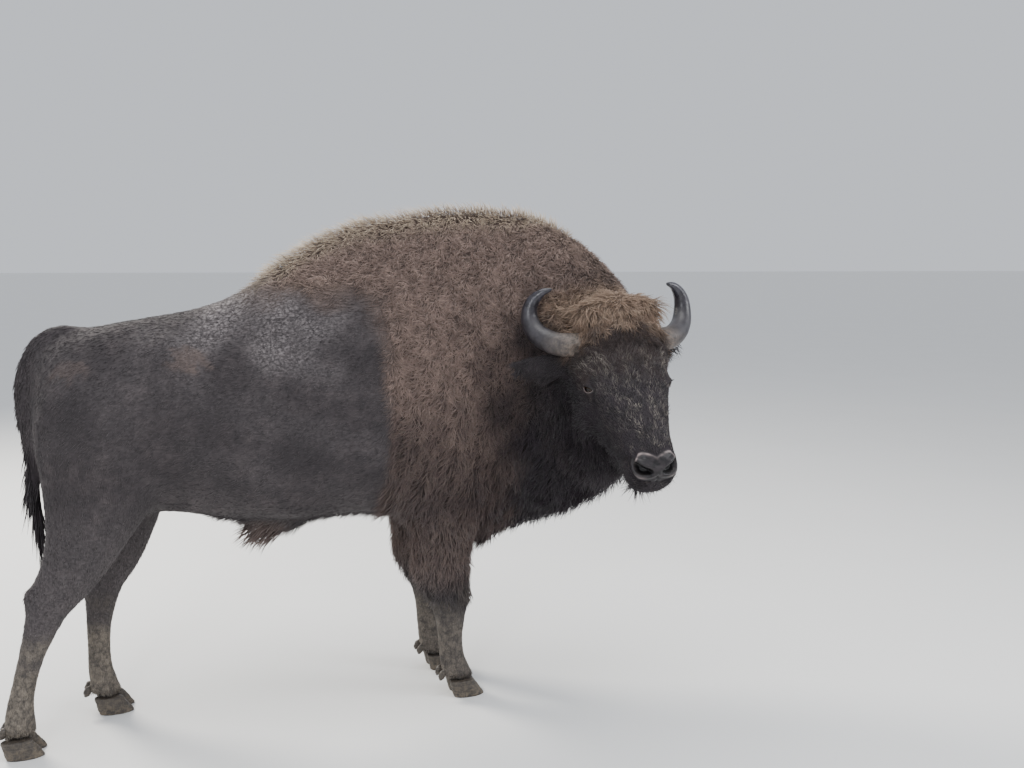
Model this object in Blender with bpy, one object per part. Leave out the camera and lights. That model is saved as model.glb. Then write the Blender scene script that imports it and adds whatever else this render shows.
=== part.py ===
"""European bison bull, life size, standing with its head turned to its right.

The animal faces +X, its left side is +Y and the floor is z = 0. Flesh and coat are one closed shape, lofted
from cross sections, blended and then parted by thin cuts into head, neck, trunk and legs. Horns, eyes, ears,
hooves and tail are pieces of their own, seated in the flesh with a small gap. All lengths are in metres.
"""

import math
from collections import namedtuple

import bmesh
import bpy
import numpy as np
from mathutils import Matrix, Vector
from mathutils.bvhtree import BVHTree

# ---- driving dimensions ------------------------------------------------------------------------------

GAP = 0.0003  # between touching pieces
CUT = 0.0005  # thickness of the cuts that part the flesh
SIZE = 0.975  # the finished bull against the lengths below
BLEND_VOXEL = 0.0115  # grid on which the flesh is blended
BODY_SMOOTHING = 14
HEAD_SMOOTHING = 5
BODY_TRIANGLES = 2650
HEAD_TRIANGLES = 1100

HEAD_SCALE = 1.03  # a big bull's head against the head stations below
HEAD_ORIGIN = Vector((1.834, -0.440, 1.384))  # middle of the forehead, between the horns
HEAD_TURN = math.radians(-93.5)  # to the right of straight ahead
HEAD_PITCH = math.radians(45.0)  # how far the face points down
HEAD_ROLL = math.radians(3.5)  # left side up

EYE_RADIUS = 0.026
EYE_SUNK = 0.55  # share of the radius below the skin
LIP_GROOVE = 0.0040  # radius of the groove between the lips
HORN_RADIUS = 0.045

# Cross sections. A section has its highest and lowest level, its half width, the level where it is widest,
# and how square its upper and lower halves are (2 is an ellipse, less is more pointed).
Section = namedtuple("Section", "x top bottom half_width widest upper lower")

TRUNK = [
    Section(-0.150, 1.325, 0.970, 0.110, 1.150, 2.2, 2.2),  # pin bones
    Section(-0.100, 1.392, 0.900, 0.180, 1.140, 2.1, 2.1),
    Section(0.000, 1.432, 0.820, 0.238, 1.140, 2.0, 2.0),  # tail head
    Section(0.180, 1.468, 0.775, 0.272, 1.130, 2.0, 2.0),
    Section(0.320, 1.488, 0.752, 0.284, 1.130, 1.95, 2.0),  # hip bones
    Section(0.450, 1.522, 0.725, 0.296, 1.100, 1.85, 2.1),  # loin
    Section(0.560, 1.575, 0.708, 0.308, 1.070, 1.75, 2.1),
    Section(0.680, 1.680, 0.700, 0.318, 1.050, 1.60, 2.1),  # rise of the hump
    Section(0.800, 1.762, 0.700, 0.322, 1.040, 1.52, 2.1),
    Section(0.920, 1.818, 0.708, 0.324, 1.040, 1.50, 2.1),
    Section(1.040, 1.848, 0.695, 0.328, 1.040, 1.52, 2.1),
    Section(1.160, 1.864, 0.655, 0.330, 1.040, 1.55, 2.0),
    Section(1.300, 1.882, 0.600, 0.326, 1.050, 1.60, 1.9),  # top of the hump
    Section(1.420, 1.888, 0.550, 0.300, 1.070, 1.65, 1.8),  # brisket
]

# Neck sections follow a path that swings to the right: place, heading, then as above.
NeckSection = namedtuple("NeckSection", "x y heading top bottom half_width widest upper lower")

NECK = [
    NeckSection(1.540, 0.004, -6, 1.880, 0.580, 0.285, 1.100, 1.75, 1.8),
    NeckSection(1.650, -0.020, -20, 1.858, 0.610, 0.270, 1.140, 1.95, 1.8),
    NeckSection(1.740, -0.075, -38, 1.815, 0.645, 0.258, 1.170, 2.2, 1.9),
    NeckSection(1.805, -0.145, -58, 1.752, 0.685, 0.250, 1.190, 2.3, 1.9),
    NeckSection(1.842, -0.215, -76, 1.672, 0.730, 0.238, 1.200, 2.3, 1.9),
    NeckSection(1.860, -0.290, -86, 1.585, 0.790, 0.208, 1.190, 2.2, 1.9),
]

# Head sections, in the head's own frame: along the face from the forehead to the nose, its height above and
# below the line of the face, its half width there and how far below the face it is widest.
HeadSection = namedtuple("HeadSection", "along top bottom half_width widest upper lower")

HEAD = [
    HeadSection(-0.120, 0.030, -0.200, 0.115, -0.090, 2.0, 2.0),
    HeadSection(-0.085, 0.066, -0.270, 0.162, -0.100, 2.2, 2.1),  # poll, under the crest of hair
    HeadSection(-0.030, 0.072, -0.320, 0.184, -0.110, 2.4, 2.1),
    HeadSection(0.040, 0.054, -0.335, 0.188, -0.110, 2.6, 2.0),  # horn line
    HeadSection(0.110, 0.032, -0.322, 0.170, -0.100, 2.8, 2.0),
    HeadSection(0.170, 0.016, -0.306, 0.150, -0.085, 2.8, 2.0),  # brows
    HeadSection(0.230, 0.008, -0.284, 0.134, -0.090, 2.6, 2.0),
    HeadSection(0.300, 0.002, -0.260, 0.116, -0.095, 2.4, 2.0),  # cheeks
    HeadSection(0.370, -0.004, -0.238, 0.098, -0.095, 2.3, 2.1),
    HeadSection(0.430, -0.008, -0.220, 0.088, -0.090, 2.4, 2.2),  # bridge of the nose
    HeadSection(0.475, -0.014, -0.208, 0.088, -0.085, 2.6, 2.3),  # nostrils
    HeadSection(0.510, -0.024, -0.200, 0.085, -0.088, 2.7, 2.4),
    HeadSection(0.534, -0.040, -0.185, 0.072, -0.095, 2.6, 2.3),
    HeadSection(0.545, -0.060, -0.150, 0.046, -0.100, 2.2, 2.2),  # front of the muzzle
]

# Limb sections, from the body down: level, place, half length fore and aft, half width.
LimbSection = namedtuple("LimbSection", "z x y half_length half_width")

FRONT_LEG = [  # x from the middle of the hoof, y from the midline
    LimbSection(1.220, -0.060, 0.215, 0.160, 0.080),
    LimbSection(1.060, -0.105, 0.215, 0.185, 0.095),
    LimbSection(0.910, -0.112, 0.205, 0.178, 0.102),
    LimbSection(0.760, -0.104, 0.188, 0.156, 0.102),
    LimbSection(0.630, -0.100, 0.170, 0.140, 0.097),
    LimbSection(0.520, -0.100, 0.158, 0.130, 0.090),
    LimbSection(0.440, -0.086, 0.150, 0.108, 0.080),
    LimbSection(0.380, -0.066, 0.147, 0.084, 0.072),  # knee
    LimbSection(0.310, -0.066, 0.145, 0.064, 0.060),
    LimbSection(0.240, -0.066, 0.143, 0.054, 0.052),  # cannon
    LimbSection(0.165, -0.064, 0.142, 0.052, 0.051),
    LimbSection(0.115, -0.052, 0.141, 0.060, 0.058),  # fetlock
    LimbSection(0.075, -0.028, 0.141, 0.057, 0.060),  # pastern
    LimbSection(0.048, -0.008, 0.141, 0.058, 0.062),
]

HIND_LEG = [  # x from the middle of the hoof, at full stretch backwards
    LimbSection(1.260, 0.290, 0.135, 0.150, 0.105),
    LimbSection(1.120, 0.283, 0.148, 0.215, 0.122),
    LimbSection(0.975, 0.285, 0.152, 0.212, 0.120),
    LimbSection(0.850, 0.272, 0.150, 0.190, 0.110),
    LimbSection(0.720, 0.226, 0.145, 0.146, 0.094),
    LimbSection(0.610, 0.172, 0.140, 0.124, 0.080),
    LimbSection(0.520, 0.116, 0.137, 0.106, 0.068),  # hock
    LimbSection(0.450, 0.074, 0.136, 0.073, 0.060),
    LimbSection(0.390, 0.052, 0.135, 0.058, 0.053),
    LimbSection(0.300, 0.018, 0.135, 0.047, 0.046),  # cannon
    LimbSection(0.200, -0.007, 0.135, 0.046, 0.044),
    LimbSection(0.135, -0.021, 0.135, 0.054, 0.053),  # fetlock
    LimbSection(0.085, -0.016, 0.135, 0.054, 0.057),  # pastern
    LimbSection(0.048, -0.002, 0.135, 0.056, 0.060),
]

# Each leg: name, its sections, side (+1 left), where its hoof stands, and how far the hoof is brought
# forward of the full stretch, which the leg above follows less and less up to the hip.
Leg = namedtuple("Leg", "name sections side hoof_x brought_forward")

LEGS = [
    Leg("front_left", FRONT_LEG, 1, 1.318, -0.020),
    Leg("front_right", FRONT_LEG, -1, 1.338, 0.0),
    Leg("hind_left", HIND_LEG, 1, 0.062, 0.274),
    Leg("hind_right", HIND_LEG, -1, -0.212, 0.0),
]
LEG_FOLLOWS_UP_TO = {"front": 0.80, "hind": 0.95}

# Muscle and hair masses blended into the flesh: centre, half sizes, and turn about Y in degrees.
Mass = namedtuple("Mass", "centre half_size lean")

SIDE_MASSES = [  # one on each side
    Mass((0.300, 0.160, 1.330), (0.120, 0.095, 0.095), 0),  # hip bone
    Mass((0.060, 0.150, 1.090), (0.215, 0.135, 0.270), 8),  # thigh
    Mass((1.200, 0.195, 1.170), (0.230, 0.125, 0.360), 10),  # shoulder blade
    Mass((1.300, 0.180, 0.920), (0.190, 0.128, 0.220), -20),  # upper arm
    Mass((0.700, 0.160, 1.000), (0.330, 0.155, 0.260), 0),  # ribs
]
MIDDLE_MASSES = [
    Mass((0.640, 0.0, 0.695), (0.130, 0.055, 0.062), 8),  # sheath
    Mass((0.150, 0.0, 0.810), (0.090, 0.075, 0.085), 0),  # between the thighs
    Mass((1.400, 0.0, 0.680), (0.190, 0.110, 0.135), 12),  # brisket
]

THROAT_MANE = [  # the long hair from the jaw down to the brisket, on the side the head is turned to
    Mass((1.835, -0.380, 1.080), (0.105, 0.150, 0.160), 0),
    Mass((1.795, -0.280, 0.985), (0.130, 0.180, 0.180), 0),
    Mass((1.700, -0.160, 0.885), (0.150, 0.170, 0.210), 0),
]

# Horn: its middle line from the skull to the tip, in the head's frame for the left side.
HORN_LINE = [
    (0.004, 0.110, -0.028),
    (-0.006, 0.162, -0.034),
    (-0.038, 0.222, -0.054),
    (-0.092, 0.270, -0.062),
    (-0.146, 0.290, -0.044),
    (-0.182, 0.283, -0.006),
    (-0.196, 0.252, 0.034),
    (-0.192, 0.214, 0.058),
]

TAIL_LINE = [  # place along the dock, and its radius
    (0.030, 1.408, 0.032),
    (-0.050, 1.412, 0.036),
    (-0.115, 1.384, 0.034),
    (-0.164, 1.318, 0.029),
    (-0.188, 1.232, 0.026),
    (-0.190, 1.142, 0.024),
    (-0.178, 1.052, 0.024),
    (-0.166, 0.972, 0.028),
    (-0.158, 0.902, 0.030),
    (-0.152, 0.832, 0.027),
    (-0.148, 0.762, 0.021),
    (-0.146, 0.702, 0.012),
]
TUFT_STARTS = 1.005  # level where the dock ends and the switch of long hair begins


# ---- shapes ------------------------------------------------------------------------------------------


def clear_scene():
    for old in list(bpy.data.objects):
        bpy.data.objects.remove(old)


def smooth_between(stations, count):
    """The stations' numbers at count even steps along them, on smooth curves that don't overshoot."""
    table = np.array([tuple(s) for s in stations], float)
    knots = np.concatenate([[0], np.cumsum(np.linalg.norm(np.diff(table[:, :3], axis=0), axis=1))])
    slopes = np.diff(table, axis=0) / np.diff(knots)[:, None]
    tangents = np.zeros_like(table)
    tangents[0], tangents[-1] = slopes[0], slopes[-1]
    steeper = slopes[:-1] * slopes[1:] > 0
    mean = 2 * slopes[:-1] * slopes[1:] / np.where(steeper, slopes[:-1] + slopes[1:], 1)
    tangents[1:-1] = np.where(steeper, mean, 0)
    at = np.linspace(0, knots[-1], count)
    k = np.clip(np.searchsorted(knots, at, side="right") - 1, 0, len(knots) - 2)
    width = (knots[k + 1] - knots[k])[:, None]
    t = ((at - knots[k]) / width[:, 0])[:, None]
    return (
        (2 * t**3 - 3 * t**2 + 1) * table[k]
        + (t**3 - 2 * t**2 + t) * width * tangents[k]
        + (3 * t**2 - 2 * t**3) * table[k + 1]
        + (t**3 - t**2) * width * tangents[k + 1]
    )


def section_ring(centre, side, up, half_width, above, below, upper, lower, sides=28):
    """A closed cross section: half_width to each side, above and below the centre, as squared as asked."""
    ring = []
    for i in range(sides):
        angle = 2 * math.pi * i / sides
        c, s = math.cos(angle), math.sin(angle)
        power = 2 / (upper if s > 0 else lower)
        across = math.copysign(abs(c) ** power, c) * half_width
        height = math.copysign(abs(s) ** power, s) * (above if s > 0 else below)
        ring.append(centre + side * across + up * height)
    return ring


def loft(rings):
    """A closed bmesh through the rings, each with as many points, capped at both ends."""
    bm = bmesh.new()
    loops = [[bm.verts.new(p) for p in ring] for ring in rings]
    count = len(loops[0])
    for near, far in zip(loops, loops[1:]):
        for i in range(count):
            j = (i + 1) % count
            bm.faces.new((near[i], near[j], far[j], far[i]))
    bm.faces.new(loops[0][::-1])
    bm.faces.new(loops[-1])
    bmesh.ops.recalc_face_normals(bm, faces=bm.faces)
    bmesh.ops.triangulate(bm, faces=bm.faces)  # so that a piece and its seat bend alike
    return bm


def ellipsoid(centre, half_size, turn=None, detail=3):
    bm = bmesh.new()
    bmesh.ops.create_icosphere(bm, subdivisions=detail, radius=1)
    shape = Matrix.Diagonal((*half_size, 1))
    bm.transform(Matrix.Translation(centre) @ (turn or Matrix()) @ shape)
    return bm


def tube(points, radii, sides=10, squash=1.0, across=Vector((0, 1, 0))):
    """A round tube on a line of points. squash flattens it across the given direction."""
    points = [Vector(p) for p in points]
    rings = []
    for i, p in enumerate(points):
        along = (points[min(i + 1, len(points) - 1)] - points[max(i - 1, 0)]).normalized()
        side = (across - along * across.dot(along)).normalized()
        up = along.cross(side)
        r = radii[i]
        rings.append(section_ring(p, side, up, r * squash, r, r, 2, 2, sides))
    return loft(rings)


def grown(bm, by):
    """The shape, larger all round, as the seat that it needs."""
    bm.normal_update()
    outwards = [v.normal.copy() for v in bm.verts]
    for v, normal in zip(bm.verts, outwards):
        v.co += normal * by * 1.6
    return bm


def add_object(name, bm, material=None):
    mesh = bpy.data.meshes.new(name)
    bm.to_mesh(mesh)
    bm.free()
    made = bpy.data.objects.new(name, mesh)
    bpy.context.scene.collection.objects.link(made)
    if material:
        mesh.materials.append(material)
    return made


def finish_mesh(made):
    """Replaces the object's mesh by what its modifiers make of it."""
    graph = bpy.context.evaluated_depsgraph_get()
    mesh = bpy.data.meshes.new_from_object(made.evaluated_get(graph))
    made.modifiers.clear()
    made.data = mesh
    return made


def copy_of(made):
    bm = bmesh.new()
    bm.from_mesh(made.data)
    return bm


def join_bmeshes(bms):
    joined = bmesh.new()
    for bm in bms:
        mesh = bpy.data.meshes.new("part")
        bm.to_mesh(mesh)
        bm.free()
        joined.from_mesh(mesh)
        bpy.data.meshes.remove(mesh)
    return joined


def material(name, colour, roughness):
    made = bpy.data.materials.new(name)
    made.use_nodes = True
    shader = made.node_tree.nodes["Principled BSDF"]
    shader.inputs["Base Color"].default_value = (*colour, 1)
    shader.inputs["Roughness"].default_value = roughness
    shader.inputs["Metallic"].default_value = 0.0
    made.diffuse_color = (*colour, 1)
    return made


# ---- the head's frame --------------------------------------------------------------------------------


def head_frame():
    """Matrix whose columns are along the face, to the animal's left, and out of the forehead."""
    ahead = Vector((math.cos(HEAD_TURN), math.sin(HEAD_TURN), 0))
    left = Vector((-math.sin(HEAD_TURN), math.cos(HEAD_TURN), 0))
    up = Vector((0, 0, 1))
    along = ahead * math.cos(HEAD_PITCH) - up * math.sin(HEAD_PITCH)
    out = ahead * math.sin(HEAD_PITCH) + up * math.cos(HEAD_PITCH)
    rolled_left = left * math.cos(HEAD_ROLL) + out * math.sin(HEAD_ROLL)
    rolled_out = out * math.cos(HEAD_ROLL) - left * math.sin(HEAD_ROLL)
    columns = Matrix((along, rolled_left, rolled_out)).transposed().to_4x4()
    return Matrix.Translation(HEAD_ORIGIN) @ columns @ Matrix.Scale(HEAD_SCALE, 4)


HEAD_FRAME = head_frame()


def on_head(along, left, out):
    return HEAD_FRAME @ Vector((along, left, out))


def head_axis(along, left, out):
    return (HEAD_FRAME.to_3x3() @ Vector((along, left, out))).normalized()


# ---- flesh -------------------------------------------------------------------------------------------


def trunk_and_neck():
    rings = []
    side, up = Vector((0, 1, 0)), Vector((0, 0, 1))
    for s in smooth_between(TRUNK, 44):
        x, top, bottom, half_width, widest, upper, lower = s
        rings.append(
            section_ring(
                Vector((x, 0, widest)), side, up, half_width, top - widest, widest - bottom, upper, lower
            )
        )
    for s in smooth_between(NECK, 16):
        x, y, heading, top, bottom, half_width, widest, upper, lower = s
        turn = math.radians(heading)
        side = Vector((-math.sin(turn), math.cos(turn), 0))
        rings.append(
            section_ring(
                Vector((x, y, widest)), side, up, half_width, top - widest, widest - bottom, upper, lower
            )
        )
    return loft(rings)


def skull():
    side, up = head_axis(0, 1, 0), head_axis(0, 0, 1)
    rings = []
    for s in smooth_between(HEAD, 30):
        along, top, bottom, half_width, widest, upper, lower = s
        rings.append(
            section_ring(
                on_head(along, 0, widest),
                side,
                up,
                half_width * HEAD_SCALE,
                (top - widest) * HEAD_SCALE,
                (widest - bottom) * HEAD_SCALE,
                upper,
                lower,
            )
        )
    return loft(rings)


def surface_of(made):
    bm = copy_of(made)
    surface = BVHTree.FromBMesh(bm)
    bm.free()
    return surface


def head_masses():
    """Brows, jaw muscles, chin, and the crest of hair on the poll, in the head's frame."""
    frame = HEAD_FRAME
    masses = [
        ((-0.085, 0.0, 0.058), (0.085, 0.190, 0.082)),
        ((-0.010, 0.0, 0.045), (0.075, 0.150, 0.050)),
        ((-0.160, 0.0, -0.030), (0.100, 0.150, 0.078)),
        ((0.458, 0.0, -0.174), (0.055, 0.058, 0.045)),
    ]
    for side in (-1, 1):
        masses.append(((0.165, side * 0.128, -0.045), (0.060, 0.034, 0.040)))
        masses.append(((0.145, side * 0.120, -0.180), (0.125, 0.052, 0.105)))
        masses.append(((0.500, side * 0.052, -0.066), (0.042, 0.036, 0.034)))
        masses.append(((0.455, side * 0.052, -0.115), (0.070, 0.040, 0.036)))
    made = []
    for centre, half_size in masses:
        bm = ellipsoid(centre, half_size, detail=2)
        bm.transform(frame)
        made.append(bm)
    return made


def follow(leg, level):
    """How far the leg is brought forward at this level: all of it at the hoof, none at the joint above."""
    share = max(0.0, 1 - level / LEG_FOLLOWS_UP_TO[leg.name.split("_")[0]])
    return leg.brought_forward * share**0.8


def limb(leg):
    side, ahead = Vector((0, 1, 0)), Vector((1, 0, 0))
    rings = []
    full_stretch_x = leg.hoof_x - leg.brought_forward
    for z, x, y, half_length, half_width in smooth_between(leg.sections, 30):
        centre = Vector((full_stretch_x + x + follow(leg, z), leg.side * y, z))
        rings.append(section_ring(centre, ahead, side, half_length, half_width, half_width, 2.2, 2.2, 20))
    return loft(rings)


def hock_and_elbow(leg):
    """The point of the hock on a hind leg, or the tuft behind the forearm on a front one."""
    full_stretch_x = leg.hoof_x - leg.brought_forward
    if leg.name.startswith("hind"):
        level = 0.530
        centre = (full_stretch_x + 0.030 + follow(leg, level), leg.side * 0.137, level)
        return ellipsoid(centre, (0.036, 0.034, 0.060), Matrix.Rotation(math.radians(-12), 4, "Y"), 2)
    level = 0.510
    centre = (full_stretch_x - 0.180 + follow(leg, level), leg.side * 0.158, level)
    return ellipsoid(centre, (0.060, 0.062, 0.110), Matrix.Rotation(math.radians(-14), 4, "Y"), 2)


def body_masses():
    made = []
    for mass in SIDE_MASSES:
        for side in (-1, 1):
            x, y, z = mass.centre
            turn = Matrix.Rotation(math.radians(mass.lean), 4, "Y")
            made.append(ellipsoid((x, side * y, z), mass.half_size, turn))
    for mass in MIDDLE_MASSES + THROAT_MANE:
        turn = Matrix.Rotation(math.radians(mass.lean), 4, "Y")
        made.append(ellipsoid(mass.centre, mass.half_size, turn))
    return made


def mark_body(flesh, count_head=True):
    """A vertex group that is 1 on the body and 0 on the face, and the triangles on one of the two."""
    flesh.vertex_groups.clear()
    group = flesh.vertex_groups.new(name="body")
    to_head = HEAD_FRAME.inverted()
    on_face = []
    for v in flesh.data.vertices:
        along, left, out = to_head @ v.co
        on_face.append(along > -0.08 and abs(left) < 0.22 and -0.34 < out < 0.22)
        group.add([v.index], 0.0 if on_face[-1] else 1.0, "REPLACE")
    counted = 0
    for p in flesh.data.polygons:
        if any(on_face[i] for i in p.vertices) == count_head:
            counted += len(p.vertices) - 2
    return counted


def blended_flesh():
    """All flesh as one closed mesh, blended on a grid, smoothed and thinned out."""
    shapes = [trunk_and_neck(), skull(), *head_masses(), *body_masses()]
    for leg in LEGS:
        shapes += [limb(leg), hock_and_elbow(leg)]
    flesh = add_object("flesh", join_bmeshes(shapes))
    blend = flesh.modifiers.new("blend", "REMESH")
    blend.mode, blend.voxel_size, blend.adaptivity = "VOXEL", BLEND_VOXEL, 0.0
    finish_mesh(flesh)
    mark_body(flesh)
    everywhere = flesh.modifiers.new("smooth", "SMOOTH")
    everywhere.factor, everywhere.iterations = 0.5, HEAD_SMOOTHING
    body = flesh.modifiers.new("smooth_body", "SMOOTH")
    body.factor, body.iterations = 0.5, BODY_SMOOTHING - HEAD_SMOOTHING
    body.vertex_group = "body"
    finish_mesh(flesh)
    dense = add_object("dense", copy_of(flesh))
    # The body is thinned out while the head is held, then the head while the body is held.
    for head_held, target in ((True, BODY_TRIANGLES), (False, HEAD_TRIANGLES)):
        held = mark_body(flesh, head_held)
        triangles = sum(len(p.vertices) - 2 for p in flesh.data.polygons)
        thin = flesh.modifiers.new("thin", "DECIMATE")
        thin.ratio = (held + target) / triangles
        thin.vertex_group = "body"
        thin.invert_vertex_group = not head_held
        finish_mesh(flesh)
    for _ in range(3):  # evens out the triangles and puts them back on the surface
        relax = flesh.modifiers.new("relax", "SMOOTH")
        relax.factor, relax.iterations = 0.5, 2
        back = flesh.modifiers.new("back", "SHRINKWRAP")
        back.target, back.wrap_method = dense, "NEAREST_SURFACEPOINT"
        finish_mesh(flesh)
    bpy.data.objects.remove(dense)
    return flesh


# ---- pieces seated in the flesh ----------------------------------------------------------------------


def spline_points(points, count):
    """Points on a smooth curve through the given ones."""
    table = np.array(points, float)
    knots = np.concatenate([[0], np.cumsum(np.linalg.norm(np.diff(table[:, :3], axis=0), axis=1))])
    padded = np.vstack([2 * table[0] - table[1], table, 2 * table[-1] - table[-2]])
    made = []
    for at in np.linspace(0, knots[-1], count):
        k = min(int(np.searchsorted(knots, at, side="right")) - 1, len(table) - 2)
        t = (at - knots[k]) / (knots[k + 1] - knots[k])
        a, b, c, d = padded[k : k + 4]
        made.append(
            0.5 * (2 * b + (c - a) * t + (2 * a - 5 * b + 4 * c - d) * t**2 + (3 * b - a - 3 * c + d) * t**3)
        )
    return made


def horn(side):
    line = spline_points([(a, side * l, o) for a, l, o in HORN_LINE], 15)
    points = [on_head(*p) for p in line]
    steps = np.linspace(0, 1, len(points))
    radii = [HORN_RADIUS * (1 - 0.30 * t - 0.60 * t**4) for t in steps]
    return tube(points, radii, sides=10, across=head_axis(0.7, 0, 0.7))


def eye(side, surface):
    """An eyeball let into the side of the head, a little ahead of and below the brow."""
    bm = ellipsoid((0, 0, 0), (EYE_RADIUS,) * 3, detail=2)
    inwards = head_axis(-0.50, -side, -0.12)
    seat, _, _, _ = surface.ray_cast(on_head(0.172, side * 0.150, -0.058) - inwards * 0.10, inwards)
    bm.transform(Matrix.Translation(seat + inwards * EYE_RADIUS * EYE_SUNK))
    return bm


def nostril(side):
    """The opening of a nostril, turned outwards, at the side of the nose pad."""
    bm = ellipsoid((0, 0, 0), (0.026, 0.0125, 0.019), detail=1)
    turn = Matrix.Rotation(math.radians(side * 32), 4, "Z") @ Matrix.Rotation(math.radians(18), 4, "Y")
    bm.transform(HEAD_FRAME @ Matrix.Translation((0.530, side * 0.050, -0.078)) @ turn)
    return bm


def lip_groove(surface):
    """A fine tube along the line where the lips meet, from one corner of the mouth to the other."""
    points = []
    for share in np.linspace(-1, 1, 15):
        swing = share * math.radians(116)
        towards = head_axis(math.cos(swing), math.sin(swing), 0)
        level = -0.148 - 0.014 * abs(share) ** 2
        start = on_head(0.400 - 0.030 * abs(share) ** 3, 0, level) + towards * 0.30
        hit, _, _, _ = surface.ray_cast(start, -towards)
        points.append(hit)
    return tube(points, [LIP_GROOVE] * len(points), sides=6, across=head_axis(0, 0, 1))


def ear(side):
    """A leaf-shaped ear, thick with hair, folded a little along its length."""
    tip = on_head(*((-0.120, 0.290, -0.160) if side > 0 else (0.000, -0.375, -0.115)))
    root = on_head(0.020, side * 0.140, -0.120)
    along = (tip - root).normalized()
    across = head_axis(0.80, 0, -0.45)
    across = (across - along * across.dot(along)).normalized()
    out = along.cross(across) * side
    length = (tip - root).length
    rings = []
    for t in np.linspace(0, 1, 9):
        width = 0.050 * math.sin(math.pi * (0.16 + 0.78 * t)) ** 0.75 * (1.12 - 0.35 * t)
        thick = 0.016 * (1 - 0.55 * t)
        centre = root + along * (length * t) + out * (0.020 * math.sin(math.pi * t))
        ring = []
        for i in range(12):
            a = 2 * math.pi * i / 12
            bow = -0.30 * width * math.cos(a) ** 2
            ring.append(centre + across * (width * math.cos(a)) + out * (thick * math.sin(a) + bow))
        rings.append(ring)
    return loft(rings)


def tail_rings():
    """Cross sections of the whole tail, and the number of the one where the switch begins."""
    table = spline_points(TAIL_LINE, 26)
    rings = []
    for i, (x, z, radius) in enumerate(table):
        ahead, behind = table[min(i + 1, len(table) - 1)], table[max(i - 1, 0)]
        along = Vector((ahead[0] - behind[0], 0, ahead[1] - behind[1])).normalized()
        side = Vector((0, 1, 0))
        up = along.cross(side)
        rings.append(section_ring(Vector((x, 0, z)), side, up, radius, radius, radius, 2, 2, 8))
    split = max(i for i, (_, z, _) in enumerate(table) if z > TUFT_STARTS)
    return rings, split


def tail_dock():
    rings, split = tail_rings()
    return loft(rings[: split + 1])


def tail_switch():
    rings, split = tail_rings()
    first = [p - Vector((0, 0, CUT)) for p in rings[split]]
    return loft([first, *rings[split + 1 :]])


def claw(leg, which):
    """One of the two halves of a cloven hoof: flat sole, sloping wall, narrow toe. which is -1 or +1."""
    half_width, length, height, split = 0.029, 0.118, 0.062, 0.0045
    centre_y = leg.side * leg.sections[-1].y + which * (half_width + split)
    outline = []
    for i in range(14):
        a = 2 * math.pi * i / 14
        c, s = math.cos(a), math.sin(a)
        along = length / 2 * math.copysign(abs(c) ** 0.8, c)
        narrow = 1 - 0.42 * max(0.0, c) ** 2
        inner = which * s < 0
        across = half_width * math.copysign(abs(s) ** (0.55 if inner else 0.85), s)
        outline.append((along, across * narrow))
    levels = [(0.0, 1.0), (0.004, 1.03), (0.030, 0.94), (height, 0.80)]
    rings = []
    for z, share in levels:
        lean = -0.030 * z / height
        rings.append(
            [Vector((leg.hoof_x + lean + x * share, centre_y + y * share, z)) for x, y in outline]
        )
    return loft(rings)


def dewclaw(leg, which):
    fetlock = next(s for s in leg.sections if s.z < 0.14)
    full_stretch_x = leg.hoof_x - leg.brought_forward
    x = full_stretch_x + fetlock.x + follow(leg, fetlock.z) - fetlock.half_length * 0.86
    centre = Vector((x, leg.side * fetlock.y + which * 0.026, 0.088))
    turn = Matrix.Rotation(math.radians(24), 4, "Y")
    return ellipsoid(centre, (0.015, 0.014, 0.026), turn, 1)


# ---- cuts --------------------------------------------------------------------------------------------


def region(point, facing, across, reach, half_across, half_high, grow=0.0):
    """A box that starts at the point and reaches out along facing. across is one of its other sides."""
    facing = Vector(facing).normalized()
    high = facing.cross(Vector(across)).normalized()
    across = high.cross(facing)
    turn = Matrix((facing, across, high)).transposed().to_4x4()
    bm = bmesh.new()
    bmesh.ops.create_cube(bm, size=2)
    size = Matrix.Diagonal((reach / 2 + grow, half_across + grow, half_high + grow, 1))
    bm.transform(Matrix.Translation(Vector(point) + facing * reach / 2) @ turn @ size)
    return bm


def leg_region(leg, grow):
    """Everything of a leg below a plane that rises outwards from the belly or the chest."""
    front, back, inner_top, outer_top, fall = (
        (1.455, 0.960, 0.560, 0.830, 0.0) if leg.name.startswith("front") else (0.350, -0.400, 0.920, 1.280, 0.30)
    )
    corners = []
    for x in (back - grow, front + grow):
        for y in (0.004 - grow, 0.700):
            rise = inner_top + (outer_top - inner_top) * y / 0.350 - fall * (x - back) / (front - back)
            corners += [(x, leg.side * y, -0.3), (x, leg.side * y, rise + 1.5 * grow)]
    bm = bmesh.new()
    bmesh.ops.convex_hull(bm, input=[bm.verts.new(c) for c in corners])
    return bm


def flesh_regions():
    """The named parts of the flesh in the order they are taken off it; the trunk is what is left."""
    parts = []
    for leg in LEGS:
        parts.append((f"leg_{leg.name}", lambda g, a=leg: leg_region(a, g)))
    head = (on_head(-0.185, 0, -0.015), head_axis(1, 0, 0), head_axis(0, 1, 0), 0.95, 0.225, 0.345)
    parts.append(("head", lambda g: region(*head, g)))
    neck = ((1.530, 0.0, 1.100), (1.0, 0.0, 0.0), (0, 1, 0), 1.2, 1.0, 1.2)
    parts.append(("neck", lambda g: region(*neck, g)))
    return parts


def boolean(target, operation, bm):
    """Cuts the shape out of the target, or keeps only what they share."""
    tool = add_object("cutter", bm)
    tool.hide_render, tool.display_type = True, "WIRE"
    step = target.modifiers.new("cut", "BOOLEAN")
    step.operation, step.solver, step.object = operation, "EXACT", tool
    finish_mesh(target)
    bpy.data.objects.remove(tool)
    return target


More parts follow.
